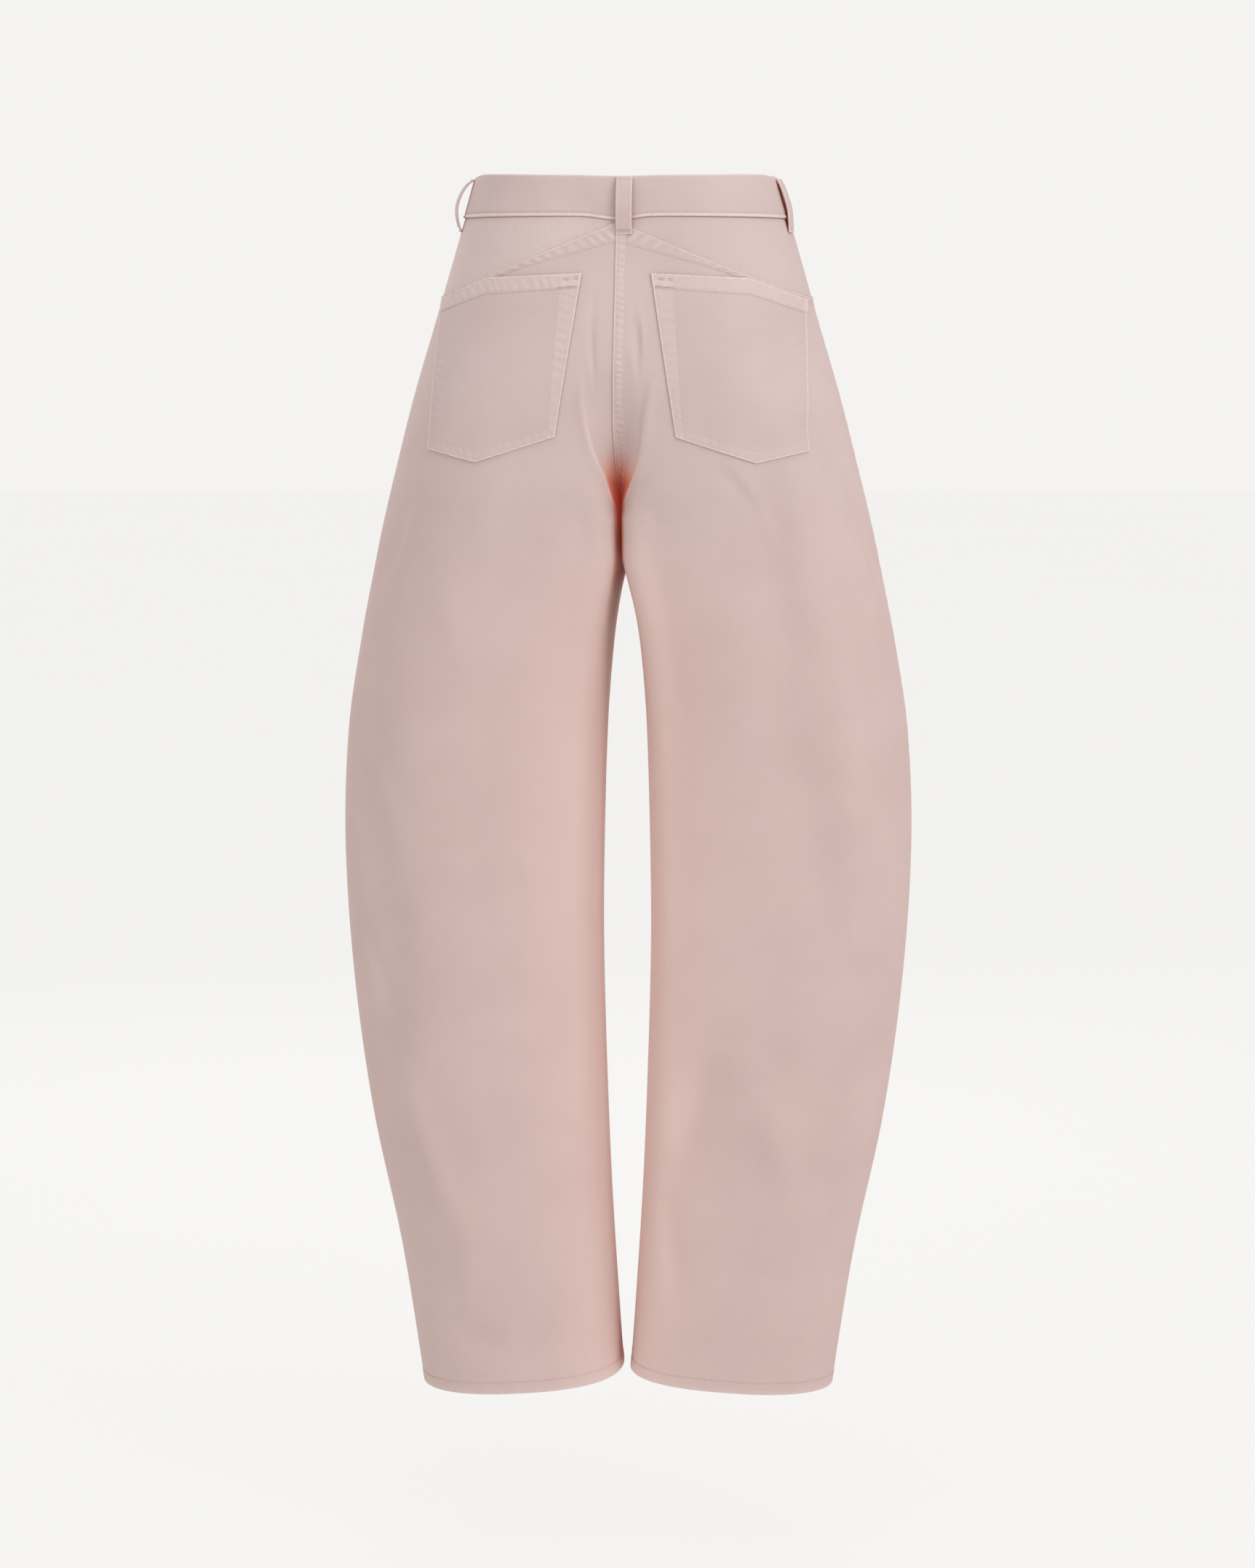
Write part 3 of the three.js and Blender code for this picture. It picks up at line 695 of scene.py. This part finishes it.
def leg_panel(name, side, edges, top_line, step, seed):
    """A leg panel from its top line, through the crotch level, to the hem."""
    w0, w1 = edges
    girth = (w1 - w0) * HALF_GIRTH
    across = spread(girth, step)
    if w1 > 0:
        finer = 1 - (1 - across) ** 1.6
        across = lerp(across, finer, 0.6)
    w = lerp(w0, w1, across)[None, :]
    top = top_line(w) - SEAM_GAP
    hem = hem_level(side, w)
    edge_rows = [0, 0.0012, 0.003]
    rise = 1 - (1 - np.append(edge_rows, np.linspace(0.006, 1, PANEL["rise_rows"]))) ** 1.7
    leg_length = CROTCH_Z - float(hem_level(side, 0.0))
    fine = leg_length - np.array(HEM_ROWS)
    even = np.arange(1, PANEL["leg_rows"]) / PANEL["leg_rows"] * fine[0]
    leg = np.concatenate([even, fine]) / leg_length
    z = np.concatenate([lerp(top, CROTCH_Z, rise[:, None]), lerp(CROTCH_Z, hem, leg[:, None])])
    from_seams = np.minimum(w - w0, w1 - w) * HALF_GIRTH + 0 * z
    from_edge = np.minimum.reduce([from_seams, top - z, z - hem])
    rounded = roll(from_edge, WALL * 0.45)
    along = w * HALF_GIRTH
    seam = 0.22 * ripple(z, 14, seed) * bell(np.abs(w - OUTSEAM) * HALF_GIRTH - 4, 5)
    relief = hem_relief(z - hem, along, seed) + seam
    outer = cloth(side, w, z, relief - rounded)
    inner = cloth(side, w, z, -WALL + rounded + 0.2 * relief)
    worn = 0.55 * bell(from_edge, 1.1) + 0.25 * bell(z - hem - 2, 3)
    x = outer[..., 0]
    # Painted highlight along the rims of the cleft at the fork, put into the wear mark, and a little wear on
    # the seat
    rim = bell(cleft_edge(x, z) + 0.6, 1.3) * below(z, -160, 50) * above(z, -280, 30)
    seat = 0.05 * bell(x, 60) * bell(z + 110, 60)
    worn = np.where(w > 0, np.maximum(worn, 0.7 * rim) + seat, worn)
    # Painted bounce light on the inner legs below the crotch, weaker on the left
    painted_bounce = PAINTED_BOUNCE_SHARE[side] * smooth((np.abs(w) - 0.5) / 0.5) * below(z, CROTCH_Z + 40, 100)
    # Painted shade of the cleft at the fork
    cleft_shade = np.where(w > 0, cleft_shade_share(x, z), 0)
    return closed_cloth(name, outer, inner, TWILL, worn, painted_bounce, cleft_shade)


def yoke_piece(name, side):
    w = lerp(OUTSEAM + OUTSEAM_CUT, INNER_EDGE, spread(HALF_GIRTH, 2.4))[None, :]
    top = band_bottom(w) - SEAM_GAP
    low = yoke_seam(w)
    z = lerp(top, low, np.linspace(0, 1, 44)[:, None])
    rounded = roll(np.minimum(z - low, top - z), 0.3)
    outer = cloth(side, w, z, -rounded)
    inner = cloth(side, w, z, -WALL + rounded)
    return closed_cloth(name, outer, inner, WORKED, YOKE_WEAR_AND_PAINTED_LIGHT[side])


BAND_ROWS = (34.2, 34.8, 35.4, 36, 36.8)    # close rows at the stitching along the band's lower edge


def waistband():
    """The band runs from the front opening, round the back, and back to the opening."""
    length = BAND["length"]
    u = spread(length, 1.7)
    side = np.where(u <= 0.5, -1.0, 1.0)[None, :]
    w = np.where(u <= 0.5, lerp(-INNER_EDGE, 1, u * 2), lerp(1, -INNER_EDGE, u * 2 - 1))[None, :]
    down = spread(BAND["height"], 1.3, BAND_ROWS)[:, None]
    z = lerp(band_top(w), band_bottom(w), down)
    up, along = grids((1 - down) * BAND["height"], u[None, :] * length)
    from_edge = np.minimum(up, BAND["height"] - up)
    from_end = np.minimum(along, length - along)
    bead = 0.45 * bell(up - 1.3, 1.2)
    stitched = -0.5 * bell(up - BAND["row"], 0.7)
    puckered = 0.16 * ripple(along + 0.4 * up, 7.5, 1.0) * bell(up - 6, 3.5)
    waves = 0.5 * np.sin(along / 41 + up / 14) * arc(down) * np.sin(along / 97 + 1)
    rounded = roll(np.minimum(from_edge, from_end), 1.3)
    outer = cloth(side, w, z, 1.55 + bead + stitched + puckered + waves - rounded)
    inner = cloth(side, w, z, -1.4 + 0.7 * rounded)
    middle = np.isclose(u, 0.5)
    outer[:, middle, 0] = 0
    inner[:, middle, 0] = 0
    worn = 0.9 * bell(up - 1.2, 1.2) + 0.6 * bell(from_edge - 0.6, 1.0)
    return closed_cloth("waistband_cloth", outer, inner, WORKED, worn)


FELL_TAIL = 2.4         # the felled band runs on this far under its second row of stitches


def fell_strip(name, side, seed):
    """Felled band under the yoke seam: raised edge, slanting puckers, then flush with the panel."""
    w = lerp(0.995, OUTSEAM + 0.002, spread(280, 1.2))[None, :]
    seam = yoke_seam(w) + 0.5
    x = form(w, seam)[..., 0]
    row = np.interp(x, FELL["x"], FELL["depth"])
    down = spread(16, 0.8)[:, None]
    under = (row + FELL_TAIL) * down
    z = seam - under
    waves = ripple(x + 0.8 * under, 8.6, seed)
    span = np.clip((under - 1.6) / np.maximum(row - 1.6, 1), 0, 1)
    between = arc(span) ** 0.7 * (under < row) * (under > 1.6)
    lift = lerp(1.25, 0.5, span) + 0.62 * waves * between
    lift = lift - 0.25 * bell(under - 1.6, 0.6) - 0.25 * bell(under - row, 0.7)
    sunk = smooth((under - row) / 2)
    lift = lerp(lift, -0.5, sunk) - roll(under, 0.5)
    outer = cloth(side, w, z, lift)
    inner = cloth(side, w, z, np.minimum(lift - 0.35, -0.25) + roll(under, 0.3))
    worn = 0.95 * bell(under - 0.3, 0.9) + 0.35 * between * (0.6 + 0.6 * waves)
    return closed_cloth(name, outer, inner, WORKED, np.clip(worn, 0, 1))


def lap_points(across, z, lift):
    """Points beside the centre back seam; across is positive on the wearer's right."""
    across, z = grids(across, z)
    w = w_beside(np.abs(across), z, 1)
    return cloth(np.where(across < 0, -1.0, 1.0), w, z, lift)


def centre_lap():
    """The right back laps over the left in a band with ladder puckers between two stitched rows."""
    top, bottom = BAND["top"] - BAND["height"] - 1.2, CROTCH_Z + 4
    z = np.linspace(top, bottom, 420)[:, None]
    edge = -column(LAP, "edge", z)
    inward = spread(LAP_WIDTH + 1.6, 0.8)[None, :] * (LAP_WIDTH + 1.6)
    second = LAP_WIDTH - 0.9
    span = np.clip((inward - 1.4) / (second - 1.4), 0, 1)
    between = arc(span) ** 0.6
    fade = smooth((z - CROTCH_Z) / 50)
    lift = lerp(1.5, 0.6, span) + 0.46 * ripple(z + 0.15 * inward, 5.6, 0.4) * between * fade
    lift = lift - 0.3 * bell(inward - 1.4, 0.55) - 0.3 * bell(inward - second, 0.6)
    lift = lerp(lift, -0.5, smooth((inward - second) / 1.8)) - roll(inward, 0.5)
    lift = np.broadcast_to(lift, (len(z), inward.shape[1]))
    outer = lap_points(edge + inward, z, lift)
    inner = lap_points(edge + inward, z, np.minimum(lift - 0.4, -0.3))
    # Less wear inside the cleft at the fork; the lap there takes the painted shade of the cleft
    worn = (0.85 * bell(inward - 0.3, 0.8) + 0.3 * between * fade) * (1 - cleft_shade_share(0, z))
    return closed_cloth("centre_back_lap", outer, inner, WORKED, worn, 0, cleft_shade_share(outer[..., 0], z))


def level(a, b, x):
    return lerp(a[1], b[1], (x - a[0]) / (b[0] - a[0]))


def pocket_place(u, v):
    """x and z on the back, across a pocket from its inner edge and down from its mouth."""
    p = POCKET
    x_top = lerp(p["inner_top"][0], p["outer_top"][0], u)
    x_low = lerp(p["inner_bottom"][0], p["outer_bottom"][0], u)
    merge, point = p["merge"], p["point"]
    top = np.where(
        x_top < merge[0], level(p["inner_top"], merge, x_top), level(merge, p["outer_top"], x_top))
    low = np.where(
        x_low < point[0], level(p["inner_bottom"], point, x_low), level(point, p["outer_bottom"], x_low))
    return lerp(x_top, x_low, v), lerp(top, low, v)


POCKET_SIZE = (118, 142)
POCKET_BASE = 0.75      # lift of a pocket's under face
POCKET_WALL = 1.15
# Rows of stitches: how far in from the edge, and the second ones from the outer and the lower edge
POCKET_ROW = 1.7
POCKET_OUTER_ROW = 11.8
POCKET_LOW_ROW = 9.2


def facing_row(v):
    """Distance from the pocket's inner edge to its second row, which runs closer lower down."""
    return lerp(17.5, 7.4, v ** 1.15)


def back_pocket(name, side, seed):
    wide, tall = POCKET_SIZE
    p = POCKET
    u_point = (p["point"][0] - p["inner_bottom"][0]) / (p["outer_bottom"][0] - p["inner_bottom"][0])
    u_merge = (p["merge"][0] - p["inner_top"][0]) / (p["outer_top"][0] - p["inner_top"][0])
    u = spread(wide, 1.15, (u_point * wide, u_merge * wide))[None, :]
    v = spread(tall, 1.15)[:, None]
    x, z = pocket_place(u, v)
    inward, down = grids(u * wide, v * tall)
    outward = wide - inward
    up = tall - down
    edge = np.minimum.reduce([inward, outward, down, up])
    facing = facing_row(v) + 0 * u
    mouth = smooth((POCKET_HEM + 0.6 - down) / 1.4)
    below_mouth = smooth((down - POCKET_HEM - 0.5) / 5)

    first = 1.8
    mouth_waves = 0.42 * puckers(down, first, POCKET_HEM, x + 0.35 * down, 7.8, seed, 0.7)
    facing_waves = 0.42 * puckers(inward, first, facing, z - 0.25 * inward, 8.2, seed + 2, 0.8)
    outer_waves = 0.36 * puckers(outward, first, POCKET_OUTER_ROW, z + 0.3 * outward, 9.4, seed + 4)
    low_waves = 0.28 * puckers(up, first, POCKET_LOW_ROW, x - 0.3 * up, 7.2, seed + 6)

    grooves = 0.28 * bell(edge - POCKET_ROW, 0.55)
    grooves = np.maximum(grooves, 0.6 * bell(down - POCKET_HEM, 0.9))
    grooves = np.maximum(grooves, 0.22 * bell(inward - facing, 0.7) * below_mouth)
    grooves = np.maximum(grooves, 0.2 * bell(up - POCKET_LOW_ROW, 0.7) * smooth((inward - 8) / 3))
    bulge = 0.5 * arc(u) * bell(down - POCKET_HEM - 9, 7)
    soft = 0.35 * np.sin(x / 17 + z / 29 + seed) * np.sin(z / 23 - x / 41) * smooth((edge - 10) / 12)
    lift = 0.42 * mouth + mouth_waves + (facing_waves + outer_waves) * below_mouth + low_waves
    lift = lift + bulge + soft - grooves
    rounded = roll(edge, POCKET_WALL * 0.45)
    w = w_at(x, z, 1)
    top_lift = POCKET_BASE + POCKET_WALL
    outer = cloth(side, w, z, top_lift + lift - rounded)
    inner = cloth(side, w, z, POCKET_BASE - 0.3 + rounded)
    worn = bell(edge - 0.2, 1.0) + 0.3 * mouth + 0.25 * smooth((facing - inward) / 2)
    worn = np.clip(worn + 0.15 * smooth((10 - up) / 3), 0, 1)
    return closed_cloth(name, outer, inner, WORKED, worn)


def fly_low(u):
    """Lower edge of the fly placket, as a share of its width rounded off at the corner."""
    corner = np.sqrt(np.maximum(0, 1 - u ** 2.4))
    return -FLY["length"] + FLY["width"] * (1 - corner)


def fly_points(u, v, lift):
    top = band_bottom(np.array(-1.0)) - SEAM_GAP - 0.4
    z = top + fly_low(u) * v
    x = lerp(FLY["edge"], FLY["width"], u) + 0 * v
    return cloth(-1, w_at(x, z, -1), z, lift)


def fly_piece():
    u = 1 - (1 - spread(FLY["width"], 1.0)[None, :]) ** 1.25
    v = spread(FLY["length"], 1.3)[:, None]
    side_gap = (1 - u) * FLY["width"] + 0 * v
    low_gap = (1 - v) * -fly_low(u)
    edge = np.minimum(np.minimum(side_gap, low_gap), u * FLY["width"] + 0 * v)
    z = -v * FLY["length"]
    near = np.minimum(side_gap, low_gap)
    waves = 0.22 * ripple(z + 0.2 * side_gap, 8.4, 5.1) * bell(near - 5, 3)
    grooves = 0.22 * bell(edge - FLY["rows"][0], 0.5) + 0.2 * bell(near - FLY["rows"][1], 0.6)
    rounded = roll(edge, 0.5)
    outer = fly_points(u, v, 1.9 + waves - grooves - rounded)
    inner = fly_points(u, v, 0.5 + rounded)
    return closed_cloth("fly_cloth", outer, inner, WORKED, 0.8 * bell(edge - 0.2, 0.85))


def loop_ends(w):
    return float(band_top(np.array(w))) - LOOP["top_step"], float(band_bottom(np.array(w))) - LOOP["below"]


def loop_bow(v):
    """How far a loop stands off, as a share of its gap, down its length."""
    return arc(np.clip((v - 0.05) / 0.9, 0, 1)) ** 0.6


def belt_loop(node, place, w, gap):
    """Strap that leaves the band at its top edge and returns to the cloth below the band."""
    top, bottom = loop_ends(w)
    u = spread(LOOP["width"], 0.8)[None, :]
    v = spread(top - bottom, 1.0)[:, None]
    across = (u - 0.5) * LOOP["width"]
    z = lerp(top, bottom, v) + 0 * u
    seat = lerp(LOOP["seat"], 0.4, smooth((v - 0.5) / 0.45))
    base = seat + gap * loop_bow(v) + 0 * u
    from_side = np.minimum(u, 1 - u) * LOOP["width"] + 0 * v
    from_end = np.minimum(v, 1 - v) * (top - bottom) + 0 * u
    rounded = roll(np.minimum(from_side, from_end), 0.75)
    ribs = 0.22 * bell(from_side - 1.2, 0.8) - 0.12 * bell(from_side - 3.2, 1.2)
    tacked = 0.35 * bell((1 - v) * (top - bottom) - 2.6, 0.9) + 0.3 * bell(v * (top - bottom) - 2.4, 0.9)
    outer = place(across, z, base + 2.0 + ribs - tacked - rounded)
    inner = place(across, z, base + 0.1 + rounded)
    worn = 0.7 * bell(from_side - 0.3, 0.8) + 0.5 * bell(from_end - 0.4, 0.8)
    return keep(closed_cloth(f"{node}_cloth", outer, inner, WORKED, worn), "worked_twill", node)


def around(side, w):
    """Places a strap round the band: across it in millimetres, at a level, lifted off."""
    near = form(np.array([w - 0.01, w + 0.01]), np.array([0.0, 0.0]))
    step = 0.02 / np.linalg.norm(near[1] - near[0])

    def place(across, z, lift):
        return cloth(side, w + across * step, z, lift)

    return place


def on_back(across, z, lift):
    x = BACK_LOOP["x"] + across + 0 * z
    w = w_at(np.abs(x), z + 0 * x, 1)
    return cloth(np.where(x < 0, -1.0, 1.0), w, z, lift)


def unit(v):
    return v / np.maximum(np.linalg.norm(v, axis=-1, keepdims=True), 1e-9)


def tube_faces(ids):
    """Faces between rings of points, one ring to a row."""
    beside = np.roll(ids, -1, axis=1)
    return np.stack([ids[:-1], ids[1:], beside[1:], beside[:-1]], -1).reshape(-1, 4)


class Threads:
    """Many short stitches in one mesh, each a bead of thread that dips at both ends."""

    SIDES = 6
    RADIUS = 0.27

    def __init__(self, name):
        self.name = name
        self.middles, self.alongs, self.normals = [], [], []

    def bars(self, points, raised, alongs, length):
        """Bars of a length at some points, along given ways."""
        self.middles.append(points)
        self.normals.append(unit(raised - points))
        self.alongs.append(unit(alongs) * length)

    def row(self, place, pitch=3.0, share=0.74):
        """Stitches along a line; place gives the line's points at a lift."""
        line, raised = place(0.0), place(1.0)
        run = np.append(0, np.cumsum(np.linalg.norm(np.diff(line, axis=0), axis=-1)))
        count = int(run[-1] / pitch)
        at = (np.arange(count) + 0.5) * run[-1] / count

        def pick(rows, s):
            return np.stack([np.interp(s, run, rows[:, k]) for k in range(3)], -1)

        length = pitch * share
        ways = pick(line, at + length / 2) - pick(line, at - length / 2)
        self.bars(pick(line, at), pick(raised, at), ways, length)

    def object(self):
        middles = np.concatenate(self.middles)
        alongs = np.concatenate(self.alongs)
        normals = np.concatenate(self.normals)
        across = unit(np.cross(alongs, normals))
        stations = np.array([(-0.5, -0.3, 0.4), (-0.26, 0.08, 1), (0.26, 0.08, 1), (0.5, -0.3, 0.4)])
        angle = np.arange(self.SIDES) * 2 * math.pi / self.SIDES
        shape = (len(middles), len(stations), self.SIDES, 3)
        centre = middles[:, None] + alongs[:, None] * stations[:, :1] + normals[:, None] * stations[:, 1:2]
        radius = (stations[:, 2] * self.RADIUS)[None, :, None, None]
        ring = across[:, None, None] * np.cos(angle)[:, None]
        ring = ring + normals[:, None, None] * np.sin(angle)[:, None]
        points = np.broadcast_to(centre[:, :, None] + ring * radius, shape)
        per = len(stations) * self.SIDES
        ids = np.arange(per).reshape(len(stations), self.SIDES)
        halves = np.array([(0, 1, 2, 3), (0, 3, 4, 5)])
        faces = np.concatenate([tube_faces(ids), ids[0][halves], ids[-1][halves[:, ::-1]]])
        faces = (faces[None] + (np.arange(len(middles)) * per)[:, None, None]).reshape(-1, 4)
        return keep(mesh_object(self.name, points.reshape(-1, 3), faces, THREAD), "worked_twill")


def band_stitches(threads):
    w = np.linspace(-0.985, 0.99, 700)
    for side in SIDES.values():
        threads.row(lambda more: cloth(side, w, band_bottom(w) + BAND["row"], 1.2 + more))


def back_stitches(threads):
    z = np.linspace(BAND["top"] - BAND["height"] - 13, CROTCH_Z + 30, 500)
    edge = -column(LAP, "edge", z)
    for inward, lift in ((1.4, 0.78), (LAP_WIDTH - 0.9, 0.35)):
        threads.row(lambda more: lap_points(edge + inward, z, lift + more))
    for side in SIDES.values():
        w = np.linspace(0.985 if side < 0 else 0.955, OUTSEAM + 0.01, 500)
        seam = yoke_seam(w) + 0.5
        depth = np.interp(form(w, seam)[..., 0], FELL["x"], FELL["depth"])
        threads.row(lambda more: cloth(side, w, seam - 1.6, 0.7 + more))
        threads.row(lambda more: cloth(side, w, seam - depth, 0.22 + more))


def pocket_line(side, u, v, lift):
    x, z = pocket_place(u, v)
    w = w_at(x, z, 1)
    return lambda more: cloth(side, w, z, lift + more)


def pocket_stitches(threads):
    wide, tall = POCKET_SIZE
    top_lift = POCKET_BASE + POCKET_WALL
    t = np.linspace(0, 1, 400)
    inner, outer = POCKET_ROW / wide, 1 - POCKET_ROW / wide
    mouth, foot = POCKET_ROW / tall, 1 - POCKET_ROW / tall
    outer_row, low_row = 1 - POCKET_OUTER_ROW / wide, 1 - POCKET_LOW_ROW / tall
    below_mouth = lerp((POCKET_HEM + 2) / tall, low_row, t)
    lines = [
        (lerp(inner, outer, t), mouth + 0 * t, 0.1),
        (lerp(inner, outer, t), POCKET_HEM / tall + 0 * t, 0.05),
        (inner + 0 * t, lerp(mouth, foot, t), -0.25),
        (outer + 0 * t, lerp(mouth, foot, t), -0.25),
        (lerp(inner, outer, t), foot + 0 * t, -0.25),
        (facing_row(below_mouth) / wide, below_mouth, -0.2),
        (outer_row + 0 * t, below_mouth, -0.2),
        (lerp(facing_row(0.93) / wide, outer_row, t), low_row + 0 * t, -0.2),
    ]
    tack_u = np.linspace(2.4, 17, 26) / wide
    for side in SIDES.values():
        for u, v, lift in lines:
            threads.row(pocket_line(side, u, v, top_lift + lift))
        for down in (3.6, 5.2, POCKET_HEM - 1.4):
            tack(threads, pocket_line(side, tack_u, down / tall + 0 * tack_u, top_lift + 0.35), 1.5)


def tack(threads, place, length):
    """A close row of bars that lie across a line."""
    line, raised = place(0.0), place(1.0)
    ways = np.cross(np.gradient(line, axis=0), raised - line)
    threads.bars(line, raised, ways, length)


def loop_tacks(threads):
    across = np.linspace(-5.9, 5.9, 24)
    for place, w, gap in spots:
        top, bottom = loop_ends(w)
        for z, seat in ((bottom + 2.0, 0.45), (bottom + 4.3, 0.6), (top - 2.4, LOOP["seat"])):
            lift = seat + gap * loop_bow((top - z) / (top - bottom)) + 1.95
            height = np.full(across.shape, z)
            tack(threads, lambda more: place(across, height, lift + more), 1.5)


def hem_stitches(threads):
    for side in SIDES.values():
        w = np.linspace(-0.985, 0.985, 900)
        threads.row(lambda more: cloth(side, w, hem_level(side, w) + HEM["depth"], 0.1 + more))


def front_stitches(threads):
    down = np.linspace(0, 1, 260)
    bend = np.linspace(1, 0.04, 160)
    round_corner = np.concatenate([np.ones(len(down)), bend])
    v = np.concatenate([down, np.ones(len(bend))])
    for gap in FLY["rows"]:
        u = round_corner * (FLY["width"] - gap) / FLY["width"]
        z_share = (fly_low(round_corner) + gap) * v / fly_low(u)
        threads.row(lambda more: fly_points(u, z_share, 1.7 + more))
    z = np.linspace(-190, CROTCH_Z + 40, 120)
    for across in (2.4, 8.2):
        w = w_beside(np.full(z.shape, across), z, -1)
        threads.row(lambda more: cloth(-1, w, z, 0.1 + more))


def lathe(name, profile, centre, axis, material):
    """Turned piece from radius and height pairs, closed on its axis."""
    count = 56
    angle = np.arange(count) * 2 * math.pi / count
    axis = unit(np.array(axis))
    first = unit(np.cross(axis, [0, 0, 1.0]))
    second = np.cross(axis, first)
    ways = np.cos(angle)[:, None] * first + np.sin(angle)[:, None] * second
    rings = [centre + axis * h + ways * max(r, 0.02) for r, h in profile]
    ids = np.arange(len(rings) * count).reshape(len(rings), count)
    return mesh_object(name, np.concatenate(rings), tube_faces(ids), material)


# Radius and height of the turned button from its under side to its middle, as shares of its size
BUTTON_PROFILE = [
    (0, 0), (0.8, 0), (0.94, 0.1), (1, 0.35), (1, 0.62), (0.96, 0.84), (0.88, 0.96), (0.8, 0.95),
    (0.74, 0.82), (0.6, 0.76), (0.56, 0.86), (0.5, 0.9), (0.44, 0.84), (0.4, 0.78), (0.3, 0.88),
    (0.15, 0.94), (0, 0.96),
]


def button():
    """Two-part metal button: a rolled rim, a sunk plain face and a ring round a dome."""
    w = w_at(np.array([BUTTON["x"]]), BUTTON["z"], -1)
    foot, tip = (cloth(-1, w, BUTTON["z"], lift)[0] for lift in (BUTTON["clear"], BUTTON["clear"] + 1))
    profile = [(BUTTON["radius"] * r, BUTTON["height"] * h) for r, h in BUTTON_PROFILE]
    return lathe("button_metal", profile, foot, tip - foot, METAL)


FLOOR = {"level": -1180, "radius": 14000, "sides": 96, "light": 0.905}
PALE = srgb(244, 243, 241)
SKY = {"tone": srgb(244, 244, 244), "light": 0.80}
AIM = (0, 0, -0.5)
# Name, place, size and power of each soft lamp; the strongest is high on the right
LAMPS = [
    ("key", (2.4, -2.4, 1.2), 1.5, 36),
    ("top", (0.0, -0.9, 2.5), 1.6, 17),
    ("rear", (-0.6, 2.2, 0.6), 1.8, 20),
]


def stage():
    """Wide pale floor, as bright as the air behind it, so that no edge shows."""
    angle = np.arange(FLOOR["sides"]) * 2 * math.pi / FLOOR["sides"]
    rim = np.stack([np.cos(angle), np.sin(angle)], -1) * FLOOR["radius"]
    points = np.append(rim, [[0, 0]], axis=0)
    points = np.column_stack([points, np.full(len(points), FLOOR["level"])])
    faces = [(i, (i + 1) % FLOOR["sides"], FLOOR["sides"]) for i in range(FLOOR["sides"])]
    n = Nodes("floor")
    pale = n.surface({
        "Base Color": n.mix(n.noise(n.place, 1.2), srgb(90, 90, 89), srgb(86, 86, 85)),
        "Roughness": 0.9,
        "Specular IOR Level": 0.0,
        "Emission Color": PALE,
        "Emission Strength": FLOOR["light"],
    })
    return mesh_object("floor", points, faces, pale)


def area_light(name, place, size, power):
    data = bpy.data.lights.new(name, "AREA")
    data.shape = "SQUARE"
    data.size = size
    data.energy = power
    lamp = bpy.data.objects.new(name, data)
    lamp.location = place
    lamp.rotation_euler = (Vector(AIM) - Vector(place)).to_track_quat("-Z", "Y").to_euler()
    lamp.visible_camera = False
    bpy.context.scene.collection.objects.link(lamp)


def studio():
    """Large soft lamps and an even pale sky."""
    for lamp in LAMPS:
        area_light(*lamp)
    world = bpy.data.worlds.new("studio")
    bpy.context.scene.world = world
    world.use_nodes = True
    tree = world.node_tree
    light = tree.nodes["Background"]
    light.inputs["Color"].default_value = SKY["tone"]
    light.inputs["Strength"].default_value = SKY["light"]
    seen = tree.nodes.new("ShaderNodeBackground")
    seen.inputs["Color"].default_value = PALE
    share = tree.nodes.new("ShaderNodeMixShader")
    tree.links.new(tree.nodes.new("ShaderNodeLightPath").outputs["Is Camera Ray"], share.inputs[0])
    tree.links.new(light.outputs[0], share.inputs[1])
    tree.links.new(seen.outputs[0], share.inputs[2])
    tree.links.new(share.outputs[0], tree.nodes["World Output"].inputs["Surface"])


CAMERA = {"distance": 4.1, "height": 0.019, "round": 4.8, "down": 7.35, "focal": 6510, "frame": 2156}


def camera():
    """The photograph's view: behind, a little to the wearer's right, from waist height."""
    data = bpy.data.cameras.new("view")
    data.sensor_width = 36
    data.lens = data.sensor_width * CAMERA["focal"] / CAMERA["frame"]
    data.clip_start, data.clip_end = 0.1, 50
    view = bpy.data.objects.new("view", data)
    turn = math.radians(CAMERA["round"])
    reach = CAMERA["distance"]
    view.location = (reach * math.sin(turn), -reach * math.cos(turn), CAMERA["height"])
    view.rotation_euler = (math.pi / 2 - math.radians(CAMERA["down"]), 0, turn)
    bpy.context.scene.collection.objects.link(view)
    bpy.context.scene.camera = view


camera()
studio()
bpy.context.scene.view_settings.view_transform = "Standard"
stage()

back_edges = OUTSEAM + OUTSEAM_CUT, INNER_EDGE
front_edges = -INNER_EDGE, OUTSEAM - OUTSEAM_CUT
for label, side in SIDES.items():
    seed = SEEDS[label]
    back = leg_panel(f"back_{label}_cloth", side, back_edges, yoke_seam, PANEL["back_step"], seed)
    keep(back, "twill", f"back_{label}")
    front = leg_panel(f"front_{label}_cloth", side, front_edges, band_bottom, PANEL["front_step"], seed + 1)
    keep(front, "twill", f"front_{label}")
    keep(yoke_piece(f"yoke_{label}_cloth", side), "twill", f"yoke_{label}")
    keep(back_pocket(f"back_pocket_{label}_cloth", side, seed), "worked_twill", f"back_pocket_{label}")
    keep(fell_strip(f"yoke_fell_{label}", side, seed), "worked_twill")

keep(waistband(), "worked_twill", "waistband")
keep(centre_lap(), "worked_twill")
keep(fly_piece(), "worked_twill", "fly")
keep(button(), "button_metal", "button")

spots = []
for label, side in SIDES.items():
    for name, spot in LOOP_SPOTS.items():
        spots.append((around(side, spot["w"]), spot["w"], spot[label]))
        belt_loop(f"belt_loop_{name}_{label}", *spots[-1])
spots.append((on_back, 1.0, BACK_LOOP["gap"]))
belt_loop("belt_loop_back", *spots[-1])

for sew in (loop_tacks, band_stitches, back_stitches, pocket_stitches, hem_stitches, front_stitches):
    threads = Threads(sew.__name__)
    sew(threads)
    threads.object()
